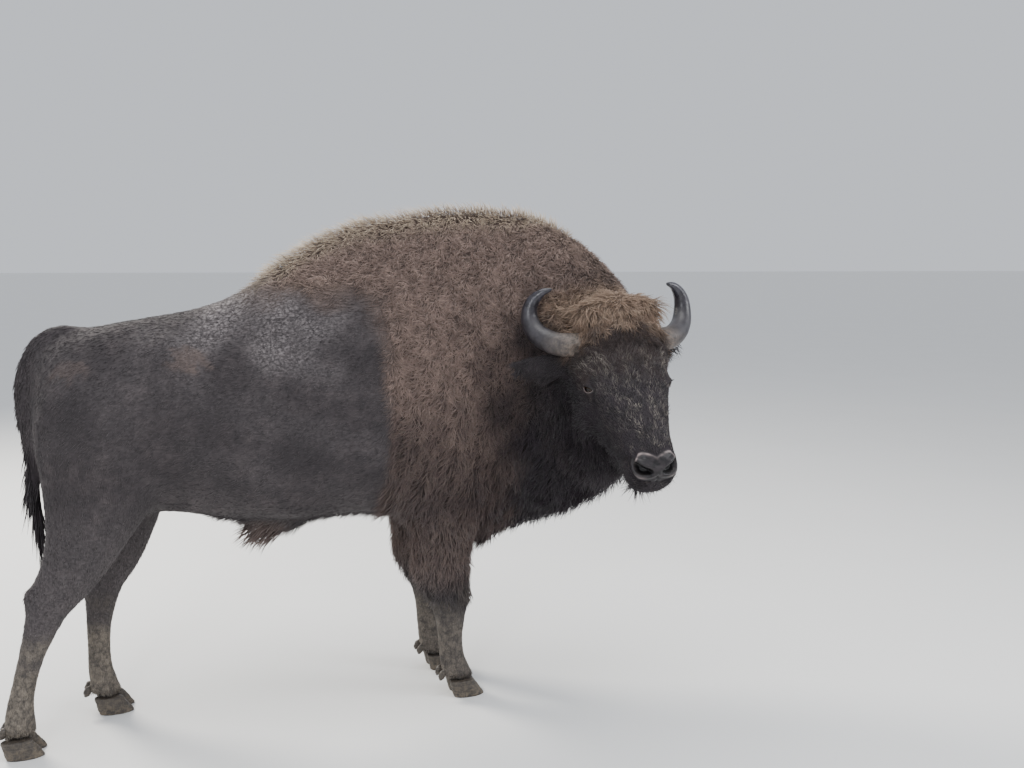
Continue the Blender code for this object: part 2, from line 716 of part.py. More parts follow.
def take_part(flesh, name, build, finish):
    """Makes the part of the flesh inside the region an object, and cuts a hair's breadth more off the rest."""
    part = add_object(name, copy_of(flesh), finish)
    boolean(part, "INTERSECT", build(0.0))
    boolean(flesh, "DIFFERENCE", build(CUT))
    return part


def seated_pieces(surface):
    """Name, builder and material of every piece that sits in the flesh."""
    pieces = []
    for side, word in ((1, "left"), (-1, "right")):
        pieces.append((f"horn_{word}", lambda s=side: horn(s), "horn"))
        pieces.append((f"eye_{word}", lambda s=side: eye(s, surface), "eye"))
        pieces.append((f"ear_{word}", lambda s=side: ear(s), "short_coat"))
    for leg in LEGS:
        for which in (-1, 1):
            place = "outer" if which * leg.side > 0 else "inner"
            claw_name = f"claw_{leg.name}_{place}"
            pieces.append((claw_name, lambda a=leg, w=which: claw(a, w), "hoof"))
            pieces.append((f"dew{claw_name}", lambda a=leg, w=which: dewclaw(a, w), "hoof"))
    pieces.append(("tail_dock", tail_dock, "short_coat"))
    pieces.append(("tail_switch", tail_switch, "short_coat"))
    return pieces


def keep_largest(made):
    """Drops crumbs that a cut leaves beside the part itself."""
    bm = bmesh.new()
    bm.from_mesh(made.data)
    left = set(bm.verts)
    bodies = []
    while left:
        body, queue = [], [left.pop()]
        while queue:
            v = queue.pop()
            body.append(v)
            for other in [e.other_vert(v) for e in v.link_edges]:
                if other in left:
                    left.discard(other)
                    queue.append(other)
        bodies.append(body)
    bodies.sort(key=len)
    for crumb in bodies[:-1]:
        print("crumb of", made.name, len(crumb), [round(c, 3) for c in crumb[0].co])
        bmesh.ops.delete(bm, geom=crumb, context="VERTS")
    bmesh.ops.triangulate(bm, faces=bm.faces)
    bm.to_mesh(made.data)
    bm.free()


def stand_on_floor():
    """Brings all to size, with the lowest level at z = 0 and the box's middle on the Z axis."""
    nodes = [o for o in bpy.data.objects if o.type == "MESH"]
    for o in nodes:
        o.data.transform(Matrix.Scale(SIZE, 4))
    points = np.concatenate([np.array([v.co for v in o.data.vertices], float) for o in nodes])
    low, high = points.min(0), points.max(0)
    shift = Vector((-(low[0] + high[0]) / 2, -(low[1] + high[1]) / 2, -low[2]))
    for o in nodes:
        o.data.transform(Matrix.Translation(shift))
    return shift


def main():
    clear_scene()
    materials = {
        "long_coat": material("long_coat", (0.110, 0.062, 0.038), 0.85),
        "short_coat": material("short_coat", (0.055, 0.038, 0.032), 0.80),
        "head_coat": material("head_coat", (0.040, 0.029, 0.027), 0.85),
        "horn": material("horn", (0.105, 0.100, 0.095), 0.38),
        "hoof": material("hoof", (0.045, 0.038, 0.034), 0.55),
        "eye": material("eye", (0.012, 0.008, 0.007), 0.08),
    }
    flesh = blended_flesh()
    surface = surface_of(flesh)
    pieces = seated_pieces(surface)
    for _, build, _ in pieces:
        boolean(flesh, "DIFFERENCE", grown(build(), GAP))
    for bm in (nostril(1), nostril(-1), lip_groove(surface)):
        boolean(flesh, "DIFFERENCE", bm)
    for name, build in flesh_regions():
        finish = {"neck": "long_coat", "head": "head_coat"}.get(name, "short_coat")
        keep_largest(take_part(flesh, name, build, materials[finish]))
    flesh.name = "trunk"
    flesh.data.materials.clear()
    flesh.data.materials.append(materials["short_coat"])
    keep_largest(flesh)
    for name, build, finish in pieces:
        add_object(name, build(), materials[finish])
    for o in bpy.data.objects:
        o.data.shade_smooth()
        o.data.set_sharp_from_angle(angle=math.radians(50))
    stand_on_floor()
    for o in bpy.data.objects:
        print(o.name, sum(len(p.vertices) - 2 for p in o.data.polygons))
    print("all", sum(len(p.vertices) - 2 for o in bpy.data.objects for p in o.data.polygons))


main()
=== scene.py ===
import math

import bmesh
import bpy
import numpy as np
from mathutils import Matrix, Vector
from mathutils.bvhtree import BVHTree
from mathutils.kdtree import KDTree


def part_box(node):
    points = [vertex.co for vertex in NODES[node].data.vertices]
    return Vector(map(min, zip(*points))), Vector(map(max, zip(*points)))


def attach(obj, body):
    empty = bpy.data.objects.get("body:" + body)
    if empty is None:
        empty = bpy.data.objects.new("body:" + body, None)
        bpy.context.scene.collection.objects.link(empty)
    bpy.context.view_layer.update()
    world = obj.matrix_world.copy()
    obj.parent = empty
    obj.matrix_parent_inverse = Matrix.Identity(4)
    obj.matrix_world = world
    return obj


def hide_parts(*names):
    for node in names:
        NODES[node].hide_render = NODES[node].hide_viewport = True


# A European bison bull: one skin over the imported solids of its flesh, a coat of solid tufts and locks on
# it, and horns, hooves and eyes of their own. Lengths are in metres. The animal faces +X, its left is +Y.

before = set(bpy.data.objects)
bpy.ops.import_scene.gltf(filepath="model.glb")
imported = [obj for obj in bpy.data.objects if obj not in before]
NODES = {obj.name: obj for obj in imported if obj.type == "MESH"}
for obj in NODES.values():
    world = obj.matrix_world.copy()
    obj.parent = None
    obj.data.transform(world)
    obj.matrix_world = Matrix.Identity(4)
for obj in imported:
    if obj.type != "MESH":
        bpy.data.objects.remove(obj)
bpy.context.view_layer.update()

# ---- sizes and places --------------------------------------------------------------------------------

MIDLINE_Y = 0.230  # the plane between the two sides of the trunk
RIDGE_SHIFT = 0.010  # how far to the left of that plane the ridge of hair along the hump stands
SHEATH_X = -0.31
HEAD_PLACE = Vector((0.8732, -0.1990, 1.3494))  # middle of the forehead, between the horns
HEAD_SCALE = 1.00425
HEAD_TURN = math.radians(-93.5)
HEAD_PITCH = math.radians(45.0)
HEAD_ROLL = math.radians(3.5)

SKIN_GRID = 0.0114  # between the points of the grid on which the skin is made
EAR_GROWTH = 0.004  # makes an ear thick enough for that grid; the coat's depth takes it off again
HORN_RADIUS = 0.0452  # at the root
DEWCLAW_SEAT = Vector((0.015, 0.0, 0.006))  # from a dewclaw's middle to the middle of its seat in the leg
DEWCLAW_SEAT_RADIUS = 0.0195
SOCKET_SINKS = 0.30  # an eye socket's filling: how deep it sits and how big it is, in radii of the eye
SOCKET_SIZE = 0.97
HEAD_SEATS = [  # hollows of the head that are filled: along, left and out of the head, and the radius
    ((0.004, 0.125, -0.030), 0.052),  # horn
    ((0.020, 0.130, -0.115), 0.050),  # ear
    ((0.516, 0.043, -0.076), 0.023),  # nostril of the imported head, which the sculpted one replaces
]
TAIL_FOLD_CENTRE = (-1.068, 0.230, 1.135)  # where the tail lies on the rump
TAIL_FOLD_HALF_SIZES = (0.032, 0.024, 0.125)

# How deep the coat lies over the skin, by region. The values that end in ADDS come on top of another.
SHORT_COAT_DEPTH = 0.009
MANE_ADDS = 0.027
SHIN_DEPTH = 0.003
FOREARM_ADDS = 0.014
FACE_DEPTH = 0.0022
BROW_ADDS = 0.006
CREST_DEPTH = 0.032
JAW_DEPTH = 0.028
EAR_DEPTH = 0.0025
DOCK_DEPTH = 0.004
SWITCH_DEPTH = 0.013
EYE_HOLLOW_ADDS = 0.0060

FLESH = [
    "trunk",
    "neck",
    "head",
    "leg_front_left",
    "leg_front_right",
    "leg_hind_left",
    "leg_hind_right",
    "ear_left",
    "ear_right",
    "tail_dock",
    "tail_switch",
]
PARTS = ["trunk", "neck", "head", "leg_front", "leg_hind", "ear", "tail_dock", "tail_switch"]

SIDES = {"left": 1, "right": -1}

# ---- small helpers -----------------------------------------------------------------------------------


def ramp(value, start, end):
    """0 before start, 1 after end, and smooth between them. start may be the larger one."""
    t = np.clip((np.asarray(value, float) - start) / (end - start), 0, 1)
    return t * t * (3 - 2 * t)


def unit(vectors):
    return vectors / np.maximum(np.linalg.norm(vectors, axis=-1, keepdims=True), 1e-9)


def dot(a, b):
    return (a * b).sum(-1)


def bell(*offsets):
    """1 where every offset is 0, and close to 0 where they are past 2."""
    return np.exp(-sum(offset**2 for offset in offsets))


def waves(points, scale, seed):
    """A smooth random number between about -1 and 1 at each point, with bumps about scale apart."""
    rng = np.random.default_rng(seed)
    added = 5
    total = np.zeros(len(points))
    for _ in range(added):
        direction = unit(rng.normal(size=3))
        place = points @ direction * (2 * math.pi / scale)
        total += np.sin(place * rng.uniform(0.7, 1.4) + rng.uniform(0, 6.3))
    return total / math.sqrt(added) / 0.8


def head_matrix():
    """Columns are along the face, to the animal's left, and out of the forehead."""
    ahead = Vector((math.cos(HEAD_TURN), math.sin(HEAD_TURN), 0))
    left = Vector((-math.sin(HEAD_TURN), math.cos(HEAD_TURN), 0))
    up = Vector((0, 0, 1))
    along = ahead * math.cos(HEAD_PITCH) - up * math.sin(HEAD_PITCH)
    out = ahead * math.sin(HEAD_PITCH) + up * math.cos(HEAD_PITCH)
    rolled_left = left * math.cos(HEAD_ROLL) + out * math.sin(HEAD_ROLL)
    rolled_out = out * math.cos(HEAD_ROLL) - left * math.sin(HEAD_ROLL)
    return Matrix((along, rolled_left, rolled_out)).transposed()


HEAD_MATRIX = head_matrix()
HEAD_AXES = np.array(HEAD_MATRIX)  # columns
ALONG_FACE, LEFT_OF_HEAD, OUT_OF_FACE = HEAD_AXES.T


def on_head(along, left, out):
    return HEAD_PLACE + HEAD_MATRIX @ (Vector((along, left, out)) * HEAD_SCALE)


def head_axis(along, left, out):
    return (HEAD_MATRIX @ Vector((along, left, out))).normalized()


def in_head(points):
    """The points' places along, left and out in the head's frame."""
    return ((points - np.array(HEAD_PLACE)) @ HEAD_AXES / HEAD_SCALE).T


def off_ridge(y):
    return np.abs(y - MIDLINE_Y - RIDGE_SHIFT)


def off_sheath(x, y):
    return np.hypot(x - SHEATH_X, y - MIDLINE_Y)


def new_object(name, mesh):
    made = bpy.data.objects.new(name, mesh)
    bpy.context.scene.collection.objects.link(made)
    return made


def object_from(name, bm):
    mesh = bpy.data.meshes.new(name)
    bm.to_mesh(mesh)
    bm.free()
    mesh.shade_smooth()
    return new_object(name, mesh)


def finished_mesh(made):
    """The object's mesh after its modifiers, as a plain mesh."""
    graph = bpy.context.evaluated_depsgraph_get()
    mesh = bpy.data.meshes.new_from_object(made.evaluated_get(graph))
    made.modifiers.clear()
    made.data = mesh
    return mesh


def made_on_grid(made, spacing):
    """The object's outside as a plain mesh of even quads."""
    grid = made.modifiers.new("grid", "REMESH")
    grid.mode, grid.voxel_size, grid.adaptivity = "VOXEL", spacing, 0.0
    return finished_mesh(made)


def node_copy(name):
    """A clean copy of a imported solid, its loose triangles joined."""
    bm = bmesh.new()
    bm.from_mesh(NODES[name].data)
    bmesh.ops.remove_doubles(bm, verts=bm.verts, dist=1e-5)
    return bm


def places(mesh):
    co = np.empty(len(mesh.vertices) * 3)
    mesh.vertices.foreach_get("co", co)
    return co.reshape(-1, 3)


def set_places(mesh, points):
    mesh.vertices.foreach_set("co", points.ravel())
    mesh.update()


def hold(mesh, name, values):
    """Keeps a number for each vertex under a name that materials read."""
    layer = mesh.attributes.get(name) or mesh.attributes.new(name, "FLOAT", "POINT")
    layer.data.foreach_set("value", np.ascontiguousarray(values, np.float32))


def held(mesh, name):
    values = np.empty(len(mesh.vertices), np.float32)
    mesh.attributes[name].data.foreach_get("value", values)
    return values.astype(float)


def triangles_of(mesh):
    mesh.calc_loop_triangles()
    tris = np.empty(len(mesh.loop_triangles) * 3, np.int64)
    mesh.loop_triangles.foreach_get("vertices", tris)
    return tris.reshape(-1, 3)


def normals_of(points, tris):
    first, second, third = (points[tris[:, corner]] for corner in range(3))
    flat = np.cross(second - first, third - first)
    total = np.zeros_like(points)
    for corner in range(3):
        for axis in range(3):
            total[:, axis] += np.bincount(tris[:, corner], flat[:, axis], len(points))
    return unit(total)


class Web:
    """The edges of a mesh, to average what its vertices hold over their neighbours."""

    def __init__(self, mesh):
        edges = np.empty(len(mesh.edges) * 2, np.int64)
        mesh.edges.foreach_get("vertices", edges)
        edges = edges.reshape(-1, 2)
        self.here = np.concatenate([edges[:, 0], edges[:, 1]])
        self.there = np.concatenate([edges[:, 1], edges[:, 0]])
        self.count = len(mesh.vertices)
        self.degree = np.maximum(np.bincount(self.here, minlength=self.count), 1)

    def smoothed(self, values, rounds, share=0.5):
        values = np.array(values, float)
        flat = values.reshape(self.count, -1)
        share = np.broadcast_to(np.asarray(share, float).reshape(-1, 1), (self.count, 1))
        for _ in range(rounds):
            mean = np.empty_like(flat)
            for k in range(flat.shape[1]):
                mean[:, k] = np.bincount(self.here, flat[self.there, k], self.count) / self.degree
            flat += (mean - flat) * share
        return flat.reshape(values.shape)


# ---- the skin ----------------------------------------------------------------------------------------


def add_ball(bm, centre, radius):
    bmesh.ops.create_icosphere(bm, subdivisions=3, radius=radius, matrix=Matrix.Translation(centre))


def joined_flesh():
    """All flesh nodes and fillings as one mesh, a tree to search it by, and the part of each polygon."""
    joined = bmesh.new()
    part_of = []

    def faces_are(part):
        """The faces that are new since the last call belong to this part."""
        part_of.extend([PARTS.index(part)] * (len(joined.faces) - len(part_of)))

    for name in FLESH:
        bm = node_copy(name)
        if name.startswith("ear"):
            bm.normal_update()
            for v, outward in [(v, v.normal.copy()) for v in bm.verts]:
                v.co += outward * EAR_GROWTH
        mesh = bpy.data.meshes.new("piece")
        bm.to_mesh(mesh)
        bm.free()
        joined.from_mesh(mesh)
        bpy.data.meshes.remove(mesh)
        faces_are(next(part for part in PARTS if name.startswith(part)))
    for side in SIDES.values():
        for (along, left, out), radius in HEAD_SEATS:
            add_ball(joined, on_head(along, side * left, out), radius)
    for side in SIDES.values():
        centre, radius, _, _, outward = socket_frame(side)
        add_ball(joined, centre - outward * radius * SOCKET_SINKS, radius * SOCKET_SIZE)
    faces_are("head")
    fold = Matrix.Translation(TAIL_FOLD_CENTRE) @ Matrix.Diagonal((*TAIL_FOLD_HALF_SIZES, 1.0))
    bmesh.ops.create_icosphere(joined, subdivisions=3, radius=1.0, matrix=fold)
    faces_are("tail_dock")
    for leg in [name for name in FLESH if name.startswith("leg")]:
        for low, high in [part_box(name) for name in NODES if name.startswith(f"dewclaw_{leg[4:]}")]:
            add_ball(joined, (low + high) / 2 + DEWCLAW_SEAT, DEWCLAW_SEAT_RADIUS)
        faces_are(leg.rsplit("_", 1)[0])
    surface = BVHTree.FromBMesh(joined)
    return joined, surface, np.array(part_of)


def part_weights(points, surface, part_of, web):
    """How much each point belongs to each part, blended over the joints between them."""
    weights = np.zeros((len(points), len(PARTS)))
    for i, p in enumerate(points):
        _, _, face, _ = surface.find_nearest(p)
        weights[i, part_of[face]] = 1
    return web.smoothed(weights, 16)


def coat_depth(points, weights):
    """How far the skin lies under the tips of the coat."""
    part = dict(zip(PARTS, weights.T))
    x, y, z = points.T
    along, _, out = in_head(points)
    depth = SHORT_COAT_DEPTH + MANE_ADDS * mane_share(points, weights)
    leg = part["leg_front"] + part["leg_hind"]
    lower = ramp(z, 0.46, 0.34)
    forearm = part["leg_front"] * ramp(z, 0.33, 0.48)
    on_leg = SHORT_COAT_DEPTH * (1 - lower) + SHIN_DEPTH * lower + FOREARM_ADDS * forearm
    depth = depth * (1 - leg) + on_leg * leg
    crest = ramp(along, 0.07, -0.03) * ramp(out, -0.16, -0.02)
    jaw = ramp(out, -0.20, -0.30) * ramp(along, 0.36, 0.22)
    on_face = FACE_DEPTH + BROW_ADDS * ramp(along, 0.30, 0.10)
    for side in SIDES.values():
        u, v, w = eye_coordinates(points, side)
        far = np.hypot(u, v)
        below = ramp(v - 0.3 * u, 0.012, -0.020)
        hollow = bell((far - 0.047) / 0.014) * below + 0.45 * bell((far - 0.034) / 0.006) * (1 - below)
        on_face = on_face + EYE_HOLLOW_ADDS * hollow * (np.abs(w) < 0.08)
    on_crest = on_face * (1 - crest) + CREST_DEPTH * crest
    on_jaw = on_crest * (1 - jaw) + JAW_DEPTH * jaw
    depth = depth * (1 - part["head"]) + on_jaw * part["head"]
    depth = depth * (1 - part["ear"]) + (EAR_DEPTH + EAR_GROWTH) * part["ear"]
    behind = ramp(x, -0.86, -0.95) * ramp(np.abs(y - MIDLINE_Y), 0.10, 0.05) * part["trunk"]
    depth = depth * (1 - 0.8 * behind)
    depth = depth * (1 - part["tail_dock"]) + DOCK_DEPTH * part["tail_dock"]
    depth = depth * (1 - part["tail_switch"]) + SWITCH_DEPTH * part["tail_switch"]
    return depth


def mane_share(points, weights):
    """1 on the woolly mane of neck, shoulders, chest and hump, 0 on the short coat behind it."""
    part = dict(zip(PARTS, weights.T))
    x, y, z = points.T
    edge = 0.068 + 0.014 * waves(points, 0.22, 3) + 0.022 * ramp(z, 1.30, 1.05)
    soft = 0.030 + 0.035 * ramp(z, 1.20, 1.45)
    side = ramp(x, edge - soft, edge + soft)
    near_top = ramp(np.abs(y - MIDLINE_Y), 0.17, 0.06) * ramp(z, 1.30, 1.42)
    ridge = near_top * ramp(x, -0.45, -0.15)
    shoulders = ramp(z + 0.020 * waves(points, 0.12, 4), 1.435, 1.555) * ramp(x, -0.42, -0.20)
    trunk = 1 - (1 - side) * (1 - np.maximum(ridge, shoulders))
    leg = part["leg_front"] * ramp(z, 0.40, 0.60)
    return np.clip(trunk * part["trunk"] + part["neck"] + leg, 0, 1)


def socket_frame(side):
    """A packed eye's centre and radius, and its directions: towards the nose, up, and out of the head."""
    low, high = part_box("eye_left" if side > 0 else "eye_right")
    centre = (low + high) / 2
    outward = head_axis(0.58, side, 0.18)
    forward = head_axis(1.0, 0.0, 0.10)
    forward = (forward - outward * forward.dot(outward)).normalized()
    up = head_axis(0.0, 0.0, 1.0)
    up = (up - outward * up.dot(outward) - forward * up.dot(forward)).normalized()
    return centre, (high - low).x / 2, forward, up, outward


def eye_coordinates(points, side):
    centre, _, forward, up, outward = socket_frame(side)
    local = points - np.array(centre)
    return local @ np.array(forward), local @ np.array(up), local @ np.array(outward)


MUZZLE_END = 0.62  # past the lips, along the face
NOSTRIL_PLACE = (0.512, 0.053, -0.052)  # along, left and out of the head


def needs_detail(points, level=0):
    """True where the face needs a finer skin: muzzle and round the eyes, more closely at the next level."""
    along, left, out = in_head(points)
    muzzle_from, round_eye = ((0.415, 0.066), (0.455, 0.054))[level]
    fine = (along > muzzle_from) & (along < MUZZLE_END)
    fine &= (np.abs(left) < 0.14) & (out > -0.25) & (out < 0.05)
    for side in SIDES.values():
        u, v, w = eye_coordinates(points, side)
        fine |= (np.hypot(u, v) < round_eye) & (w > -0.02) & (w < 0.08)
    return fine


def nostril_field(along, left, out, side):
    """1 at the rim of a nostril's opening, less inside it, more outside it."""
    a = along - NOSTRIL_PLACE[0]
    l = (left - side * NOSTRIL_PLACE[1]) * side
    o = out - NOSTRIL_PLACE[2]
    turn = math.radians(32)
    lengthwise = a * math.cos(turn) + l * math.sin(turn)
    across = -a * math.sin(turn) + l * math.cos(turn)
    lean = math.radians(-24)
    high = o * math.cos(lean) - lengthwise * math.sin(lean)
    lengthwise = lengthwise * math.cos(lean) + o * math.sin(lean)
    curl = high + 6.0 * lengthwise**2
    return np.sqrt((lengthwise / 0.0225) ** 2 + (curl / 0.0105) ** 2 + (across / 0.045) ** 2)


def mouth_level(along, left):
    """The height, out of the face, of the line where the lips meet."""
    swing = np.arctan2(left, along - 0.40) / math.radians(116)
    return -0.148 - 0.014 * np.clip(swing, -1, 1) ** 2


def pad_edge(left):
    """How far along the face the bare pad begins: later between the nostrils than over them."""
    off = np.abs(left)
    return 0.465 + 0.025 * (1 - np.minimum(off / 0.047, 1)) ** 1.25 + 1.5 * np.maximum(off - 0.057, 0)


def nose_pad(along, left, out):
    """1 on the bare, wet pad between and round the nostrils."""
    edge = pad_edge(left)
    front = ramp(along, edge - 0.004, edge + 0.006)
    bottom = ramp(out, -0.092, -0.078)
    width = ramp(np.abs(left), 0.078 + 0.30 * (out + 0.05), 0.067 + 0.30 * (out + 0.05))
    return front * bottom * width


def sculpt_face(points, normals):
    """Moves the fine skin of the muzzle: nostrils, nose pad, lips and the folds round them."""
    along, left, out = in_head(points)
    shift, deep = np.zeros(len(points)), np.zeros(len(points))
    on_muzzle = ramp(along, 0.43, 0.47) * (along < MUZZLE_END)
    for side in SIDES.values():
        near = nostril_field(along, left, out, side)
        pit = ramp(near, 1.05, 0.62)
        rim = bell((near - 1.35) / 0.28)
        shift += on_muzzle * (-0.024 * pit + 0.0030 * rim)
        deep = np.maximum(deep, on_muzzle * ramp(near, 1.12, 0.80))
        wing = bell((near - 2.15) / 0.22) * ramp(out, -0.10, -0.07)
        shift -= 0.0016 * wing * on_muzzle
    level = out - mouth_level(along, left)
    lips = ramp(along, 0.415, 0.455)
    shift += lips * (-0.0065 * bell(level / 0.0032) + 0.0022 * bell((np.abs(level) - 0.011) / 0.006))
    groove = bell(left / 0.0035) * ramp(along, 0.50, 0.53) * ramp(out, -0.035, -0.06)
    shift -= 0.0028 * groove * ramp(level, 0.0, 0.012)
    pad = nose_pad(along, left, out)
    raised = bell((along - pad_edge(left) - 0.006) / 0.006) * ramp(out, -0.075, -0.055)
    shift += 0.0012 * pad + 0.0022 * raised * ramp(np.abs(left), 0.085, 0.070) * on_muzzle
    bend = 5 * np.sin(left * 60) + 3 * waves(points, 0.05, 21)
    wrinkle = np.sin(along * 560 + bend) * ramp(along, 0.43, 0.46) * ramp(along, 0.50, 0.485)
    shift += 0.0004 * wrinkle * ramp(out, -0.09, -0.04)
    return points + normals * shift[:, None], deep


EYEBALL_RADIUS = 0.0260
EYE_STANDS_OUT = 0.27  # share of the eyeball's radius above the skin
ALMOND_HALF_LENGTH = 0.0205
ALMOND_HALF_HEIGHT = 0.0112
EYE_TILT = math.radians(30)  # of the line between the lids' corners
EYE_PATCH_RADIUS = 0.048
RAY_START = 0.08  # how far outside an eye a ray to the skin starts
LID_STEPS = 64
LID_PROFILE = [  # outside the opening, above the eyeball, share of the skin's own height
    (0.0006, -0.0006, 0.0),
    (0.0000, 0.0008, 0.0),
    (0.0001, 0.0020, 0.0),
    (0.0008, 0.0029, 0.0),
    (0.0022, 0.0033, 0.02),
    (0.0042, 0.0032, 0.06),
    (0.0062, 0.0021, 0.14),
    (0.0080, 0.0010, 0.24),
    (0.0100, 0.0018, 0.38),
    (0.0125, 0.0024, 0.55),
    (0.0155, 0.0016, 0.74),
    (0.0190, 0.0004, 0.90),
    (None, 0.0, 1.0),  # the border of the patch
]


def almond(angle):
    """The outline of the opening between the lids, at an angle round the eye: place forward and up."""
    forward = ALMOND_HALF_LENGTH * np.cos(angle)
    rise = np.abs(np.sin(angle)) ** 1.25 * np.sign(np.sin(angle))
    up = rise * ALMOND_HALF_HEIGHT * np.where(rise > 0, 1.0, 0.92)
    return (
        forward * math.cos(EYE_TILT) - up * math.sin(EYE_TILT),
        forward * math.sin(EYE_TILT) + up * math.cos(EYE_TILT),
    )


def lid_rim():
    """Points all round the opening between the lids."""
    return almond(np.linspace(-math.pi, math.pi, 73))


def lid_ring(angles, step_out):
    """A ring of places forward and up round an eye: the opening's outline, rounder the further out it is."""
    if step_out is None:
        radius = EYE_PATCH_RADIUS
        return np.cos(angles) * radius * 0.90, np.sin(angles) * radius * 0.90
    almond_u, almond_v = almond(angles)
    rounder = 0.75 * ramp(step_out, 0.0, 0.022)
    round_u = np.cos(angles) * ALMOND_HALF_LENGTH
    round_v = np.sin(angles) * ALMOND_HALF_LENGTH * 0.80
    u = almond_u * (1 - rounder) + round_u * rounder + np.cos(angles) * step_out
    v = almond_v * (1 - rounder) + round_v * rounder + np.sin(angles) * step_out
    return u, v


def height_over_eye(off, radius, above):
    """How far out from an eyeball's middle a place lies: round over the ball, and straight past it."""
    near = min(off, radius * 0.80)
    return math.sqrt((radius + above) ** 2 - near * near) - (off - near) * 0.9


def eyeball(side, surface):
    """The centre and radius of an eyeball, seated in the skin, and the eye's directions."""
    socket, _, forward, up, outward = socket_frame(side)
    hit, _, _, _ = surface.ray_cast(socket + outward * RAY_START, -outward)
    return hit - outward * EYEBALL_RADIUS * (1 - EYE_STANDS_OUT), EYEBALL_RADIUS, forward, up, outward


def lids(bm, side, surface):
    """Cuts the skin open over an eye and closes it again with two lids that fit the eyeball."""
    centre, radius, forward, up, outward = eyeball(side, surface)
    axes = np.array([forward, up, outward])

    def flat_place(p):
        return axes @ (np.array(p) - np.array(centre))

    inside = []
    for face in bm.faces:
        u, v, w = flat_place(face.calc_center_median())
        if math.hypot(u, v) < EYE_PATCH_RADIUS and -0.020 < w < 0.06:
            inside.append(face)
    bmesh.ops.delete(bm, geom=inside, context="FACES")
    outer = border_loop(bm, flat_place)

    angles = np.linspace(-math.pi, math.pi, LID_STEPS, endpoint=False)
    rings = []
    for step_out, above, follow in LID_PROFILE:
        ring = []
        for u, v in zip(*lid_ring(angles, step_out)):
            level = height_over_eye(math.hypot(u, v), radius, above)
            start = centre + forward * u + up * v + outward * RAY_START
            hit, _, _, _ = surface.ray_cast(start, -outward)
            if hit is not None:
                on_skin = (hit - centre).dot(outward) + above * (1 - follow)
                level = level * (1 - follow) + on_skin * follow
            ring.append(bm.verts.new(centre + forward * u + up * v + outward * level))
        rings.append(ring)
    flip = side < 0
    for near, far in zip(rings, rings[1:]):
        for k in range(LID_STEPS):
            j = (k + 1) % LID_STEPS
            corners = (near[k], far[k], far[j], near[j])
            bm.faces.new(corners[::-1] if flip else corners)
    zip_rings(bm, rings[-1], outer, flat_place, flip)


def border_loop(bm, flat_place):
    """The border of the hole just cut, in order round it and anticlockwise seen from outside."""
    edges = [e for e in bm.edges if e.is_boundary and math.hypot(*flat_place(e.verts[0].co)[:2]) < 0.08]
    next_to = {}
    for e in edges:
        for v in e.verts:
            next_to.setdefault(v, []).append(e.other_vert(v))
    start = edges[0].verts[0]
    loop, last, here = [start], None, start
    while True:
        step = next(v for v in next_to[here] if v is not last)
        if step is start or len(loop) > len(next_to):
            break
        loop.append(step)
        last, here = here, step
    flat = np.array([flat_place(v.co)[:2] for v in loop])
    area = (flat[:, 0] * np.roll(flat[:, 1], -1) - np.roll(flat[:, 0], -1) * flat[:, 1]).sum()
    return loop if area > 0 else loop[::-1]


def zip_rings(bm, inner, outer, flat_place, flip):
    """Triangles between two rings with different numbers of points, both in order round the same centre."""

    def turn(v):
        p = flat_place(v.co)
        return math.atan2(p[1], p[0])

    def off_start(v):
        return abs((turn(v) - turn(inner[0]) + math.pi) % (2 * math.pi) - math.pi)

    first = min(range(len(outer)), key=lambda k: off_start(outer[k]))
    outer = outer[first:] + outer[:first]
    a = np.unwrap([turn(v) for v in inner])
    b = np.unwrap([turn(v) for v in outer])
    a = np.append(a - a[0], 2 * math.pi)
    b = np.append(b - b[0], 2 * math.pi)
    i = j = 0
    while i < len(inner) or j < len(outer):
        here_in, here_out = inner[i % len(inner)], outer[j % len(outer)]
        if j >= len(outer) or (i < len(inner) and a[i + 1] <= b[j + 1]):
            i += 1
            corners = (here_in, here_out, inner[i % len(inner)])
        else:
            j += 1
            corners = (here_in, here_out, outer[j % len(outer)])
        bm.faces.new(corners[::-1] if flip else corners)


def rough_skin():
    """The flesh joined on a grid, smoothed, and taken in by the depth of the coat."""
    joined, surface, part_of = joined_flesh()
    skin = object_from("skin", joined)
    mesh = made_on_grid(skin, SKIN_GRID)
    web = Web(mesh)
    points = places(mesh)
    tris = triangles_of(mesh)
    weights = part_weights(points, surface, part_of, web)
    part = dict(zip(PARTS, weights.T))
    points = web.smoothed(points, 4, 0.5 - 0.38 * part["ear"])
    broad = np.clip(part["trunk"] + part["neck"], 0, 1)
    points = web.smoothed(points, 26, 0.5 * broad)
    limbs = np.clip(part["leg_front"] + part["leg_hind"] + 0.6 * part["head"], 0, 1)
    points = web.smoothed(points, 4, 0.5 * (limbs * ramp(points[:, 2], 0.10, 0.16)))
    normals = web.smoothed(normals_of(points, tris), 3)
    depth = web.smoothed(coat_depth(points, weights), 10)
    points = points - unit(normals) * depth[:, None]
    set_places(mesh, web.smoothed(points, 2, 0.5 - 0.4 * part["ear"]))
    return skin, surface, part_of


